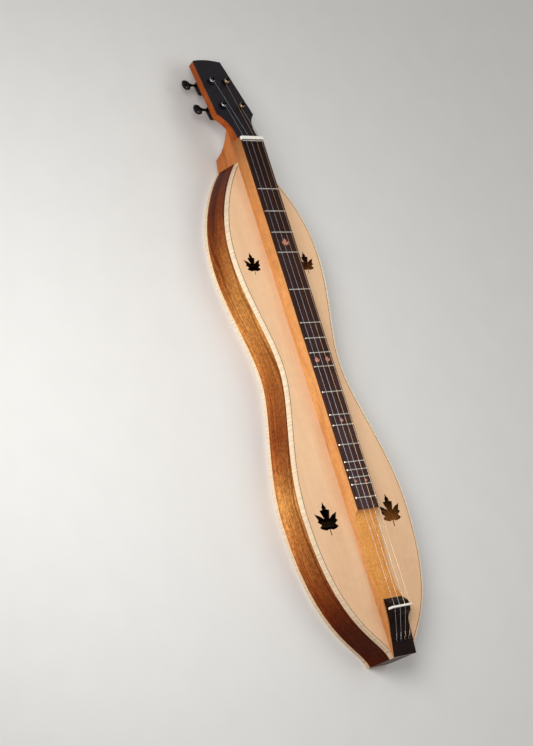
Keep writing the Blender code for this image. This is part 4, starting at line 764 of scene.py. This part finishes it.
# %% [markdown]
# ## The inlays
# Six small leaves, shaped like a maple's and made of coral-coloured shell or stone, mark positions
# on the fingerboard. They all have one shape in several sizes, so one leaf is drawn once, and a
# node tree puts a copy on each of six points, at the size that the point carries.

# %% Leaf inlays
coral, tree, shader, mm = new_material("polished_coral_inlay", Roughness=0.3, Coat_Weight=0.2)
cloud = add(tree, "ShaderNodeTexNoise", {"Vector": mm, "Scale": 0.35, "Detail": 4.0})
tint = add(tree, "ShaderNodeMix", {0: cloud.outputs[0], 6: linear("E79A80"), 7: linear("A85A44")},
           data_type="RGBA")
polish = add(tree, "ShaderNodeMapRange", {"Value": cloud.outputs[0], "To Min": 0.22, "To Max": 0.38})
link_look(tree, shader, Base_Color=tint.outputs[2], Roughness=polish.outputs[0])

# Half the edge of a leaf 1 m long, from its tip to the end of its stem
half_leaf = ((0.50, 0.0), (0.36, 0.05), (0.26, 0.12), (0.18, 0.24), (0.05, 0.14), (-0.08, 0.12),
             (0.02, 0.30), (0.10, 0.50), (-0.04, 0.46), (-0.12, 0.50), (-0.22, 0.30), (-0.30, 0.42),
             (-0.34, 0.20), (-0.32, 0.04), (-0.50, 0.03))
leaf_edge = list(half_leaf) + [(x, -y) for x, y in reversed(half_leaf) if y > 0]
corners = len(leaf_edge)
# It reaches a hundredth of its length above the fingerboard's top face, and as far below it
half_thickness = 0.01
leaf_faces = [tuple(range(corners, 2 * corners)), tuple(reversed(range(corners)))]
for step in range(corners):
    onward = (step + 1) % corners
    leaf_faces.append((step, onward, corners + onward, corners + step))
leaf_mesh = bpy.data.meshes.new("leaf")
leaf_mesh.from_pydata([(x, y, z) for z in (-half_thickness, half_thickness) for x, y in leaf_edge], [],
                      leaf_faces)
leaf = bpy.data.objects.new("leaf", leaf_mesh)

inlay_tree, given, made = new_tree("Copies on points", {
    "Leaf": "NodeSocketObject", "Material": "NodeSocketMaterial"})
shape = add(inlay_tree, "GeometryNodeObjectInfo", {"Object": given.outputs["Leaf"]})
size = add(inlay_tree, "GeometryNodeInputNamedAttribute", {"Name": "size"}, data_type="FLOAT")
copies = add(inlay_tree, "GeometryNodeInstanceOnPoints",
             {"Points": given.outputs["Geometry"], "Instance": shape.outputs["Geometry"],
              "Scale": size.outputs["Attribute"]})
end_tree(inlay_tree, copies.outputs[0], given, made)

# Each inlay's place along the fingerboard, its place across it, and its length
places = ((0.2240, 0.0, 0.0125), (0.0510, 0.0099, 0.0090), (0.0510, -0.0099, 0.0090),
          (-0.0365, 0.0, 0.0065), (-0.1225, 0.0095, 0.0055), (-0.1225, -0.0095, 0.0055))
fingerboard_top = 0.0745
inlay_points = bpy.data.meshes.new("inlay_points")
inlay_points.from_pydata([(x, y, fingerboard_top) for x, y, leaf_length in places], [], [])
sizes = inlay_points.attributes.new("size", "FLOAT", "POINT")
sizes.data.foreach_set("value", [leaf_length for x, y, leaf_length in places])
inlays = run_tree("leaf_inlays", inlay_tree, inlay_points, {"Leaf": leaf, "Material": coral})
bpy.data.objects.remove(leaf)
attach(inlays, "dulcimer")

# %% [markdown]
# ## The strings
# Each string starts in a loop on its hitch pin, climbs to the saddle, runs nearly level over the
# frets to the nut, and goes on to its post, where it winds upwards and ends in the post's hole. The
# sizes are those of the solids, in metres, so that the wire lies where they lie. The solids wind
# three open turns. The real strings wind in close turns, so this wire fills the same height with
# turns that nearly touch.

# %% Sizes of the strings and their posts
string_diameters = (0.00030, 0.00036, 0.00056, 0.00066)
lanes = (0.0147, 0.0049, -0.0049, -0.0147)
pin_lanes = (0.0117, 0.0039, -0.0039, -0.0117)
zero_fret_x = 0.3775
saddle_x = -0.2971
saddle_height = 0.0264
notch_depth = 0.0005
nut_front_x = 0.3797
nut_back_x = 0.3847
fingerboard_end_x = -0.1615
pin_x = -0.3376
pin_z = 0.0612
pin_radius = 0.0010
fret_top = 0.07565
seam = 0.00015
# The peghead's plane starts behind the nut, this high above the soundboard, and tilts back
tilt = math.radians(13.8)
head_height = 0.0162
head_frame = Matrix.Translation((nut_back_x, 0, body_depth + head_height)) @ Matrix.Rotation(tilt, 4, "Y")
post_radius = 0.0030
winding_start = 0.0031
# Each string's post in the peghead's plane: along it, across it, and its side
posts = ((0.0575, 0.0170, 1), (0.1028, 0.0137, 1), (0.1028, 0.0137, -1), (0.0575, 0.0170, -1))


def string_height(x, number):
    """Height of a string's middle, over the board and on towards its post."""
    radius = string_diameters[number] / 2
    fret_z = fret_top + seam + radius
    saddle_z = body_depth + saddle_height - notch_depth + seam + radius
    if x <= zero_fret_x:
        return fret_z + (zero_fret_x - x) / (zero_fret_x - saddle_x) * (saddle_z - fret_z)
    end = head_frame @ Vector((posts[number][0], 0, winding_start))
    return fret_z + (x - zero_fret_x) / (end.x - zero_fret_x) * (end.z - fret_z)


# %% Wind each string on its post
open_turns, open_gap = 3, 0.0005
close_pitch = 1.12
turn_steps = 36
bend_steps = 12
# The last steps into the post's hole, in metres: onward round the post, and inwards
hole_steps = ((0.0004, 0.0002), (0.0001, 0.0005), (0.0, 0.0010))


def winding_route(number):
    """The winding in its post's own plane: its first touch, the way in, its points and its turns."""
    along, across, side = posts[number]
    diameter = string_diameters[number]
    radius = post_radius + seam + diameter / 2
    nut = head_frame.inverted() @ Vector((nut_back_x, lanes[number], string_height(nut_back_x, number)))
    reach = Vector((along - nut.x, side * (side * across - nut.y)))
    heading = math.atan2(reach.y, reach.x) - math.asin(radius / reach.length)
    tangent = Vector((radius * math.sin(heading), -radius * math.cos(heading), winding_start))
    arrival = (tangent - Vector((-reach.x, -reach.y, nut.z))).normalized()
    height = open_turns * (diameter + open_gap)
    pitch = diameter * close_pitch
    turns = int(height / pitch)
    first = heading - math.pi / 2
    points = [tangent - arrival * diameter]
    for step in range(turns * turn_steps + 1):
        angle = first + math.tau * step / turn_steps
        rise = winding_start + pitch * step / turn_steps
        points.append(Vector((radius * math.cos(angle), radius * math.sin(angle), rise)))
    # After the last turn the wire climbs to the post's hole, which is at the top of the solid's winding
    last = points[-1]
    hole_z = winding_start + height
    for step in range(1, bend_steps + 1):
        angle = first + math.tau * step / turn_steps
        rise = last.z + (hole_z - last.z) * step / bend_steps
        points.append(Vector((radius * math.cos(angle), radius * math.sin(angle), rise)))
    inward = Vector((-points[-1].x, -points[-1].y, 0)).normalized()
    onward = Vector((-math.sin(angle), math.cos(angle), 0))
    for ahead, inside in hole_steps:
        points.append(points[-1] + ahead * onward + inside * inward)
    return tangent, arrival, points, turns


# %% [markdown]
# A string's end is a loop with its tail twisted round the string. The loop drops over the hitch
# pin. The wire here starts at the end of that twist, comes back along it to the pin, goes round
# the pin and leaves through its own twist.

# %% Loop each string over its hitch pin
twist_length, twist_turns, twist_steps = 0.0060, 6, 60
# The twist's distance from the string's middle is in diameters, and the loop's neck is in loop radii
twist_reach = 1.05
loop_neck = 2.0
# Degrees round the pin
loop_start, loop_sweep, loop_steps = 60, 240, 24


def loop_route(number, saddle_point):
    """The wire's points from the end of its twist round the pin to the string's own line."""
    diameter = string_diameters[number]
    pin = Vector((pin_x, pin_lanes[number], pin_z))
    away = (saddle_point - pin).normalized()
    left = Vector((-away.y, away.x, 0)).normalized()
    up = away.cross(left)
    around = pin_radius + seam + diameter / 2
    neck = around * loop_neck
    points = []
    for step in range(twist_steps):
        share = step / twist_steps
        angle = math.tau * twist_turns * share
        along = neck + twist_length * (1 - share)
        off_line = left * math.cos(angle) + up * math.sin(angle)
        points.append(pin + away * along + diameter * twist_reach * off_line)
    for step in range(loop_steps + 1):
        angle = math.radians(loop_start + loop_sweep * step / loop_steps)
        points.append(pin + around * (away * math.cos(angle) + left * math.sin(angle)))
    points.append(pin + away * neck)
    return points


def length_mm(points):
    """Length of a wire along its route, in millimetres."""
    return sum((Vector(end) - Vector(start)).length for start, end in zip(points, points[1:])) * 1000


# %% Draw the strings
# In diameters: the winding starts one before it touches the post, and the string ends half of one sooner
string_end_gap = 1.5
# The wire bends over the saddle between these places, measured from its middle, and drops behind it
bend_behind, bend_back, bend_front, bend_drop = 0.0015, 0.0005, 0.0010, 0.0002
string_metals = (steel, steel, bronze, bronze)
for number in range(4):
    along, across, side = posts[number]
    tangent, arrival, points, turns = winding_route(number)
    mirror = Matrix.Diagonal((1, side, 1, 1))
    to_world = head_frame @ Matrix.Translation((along, side * across, 0)) @ mirror
    winding = wire(f"winding_{number + 1}", [to_world @ point for point in points],
                   string_diameters[number], string_metals[number])
    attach(winding, f"post_{number + 1}")
    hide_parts(f"string_winding_{number + 1}")
    print(f"winding_{number + 1} has {turns} close turns of {length_mm(points):.0f} mm in all")

    end = to_world @ (tangent - arrival * string_diameters[number] * string_end_gap)
    lane = lanes[number]
    behind_saddle = Vector((saddle_x - bend_behind, lane, string_height(saddle_x, number) - bend_drop))
    level_places = (saddle_x + bend_front, fingerboard_end_x, zero_fret_x, nut_front_x, nut_back_x)
    points = [
        *loop_route(number, behind_saddle),
        behind_saddle,
        (saddle_x - bend_back, lane, string_height(saddle_x, number)),
        *[(x, lane, string_height(x, number)) for x in level_places],
        tuple(end),
    ]
    string = wire(f"wire_{number + 1}", points, string_diameters[number], string_metals[number])
    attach(string, "dulcimer")
    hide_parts(f"string_{number + 1}")
    print(f"wire_{number + 1} is {length_mm(points):.0f} mm long from its loop's twist to its post")
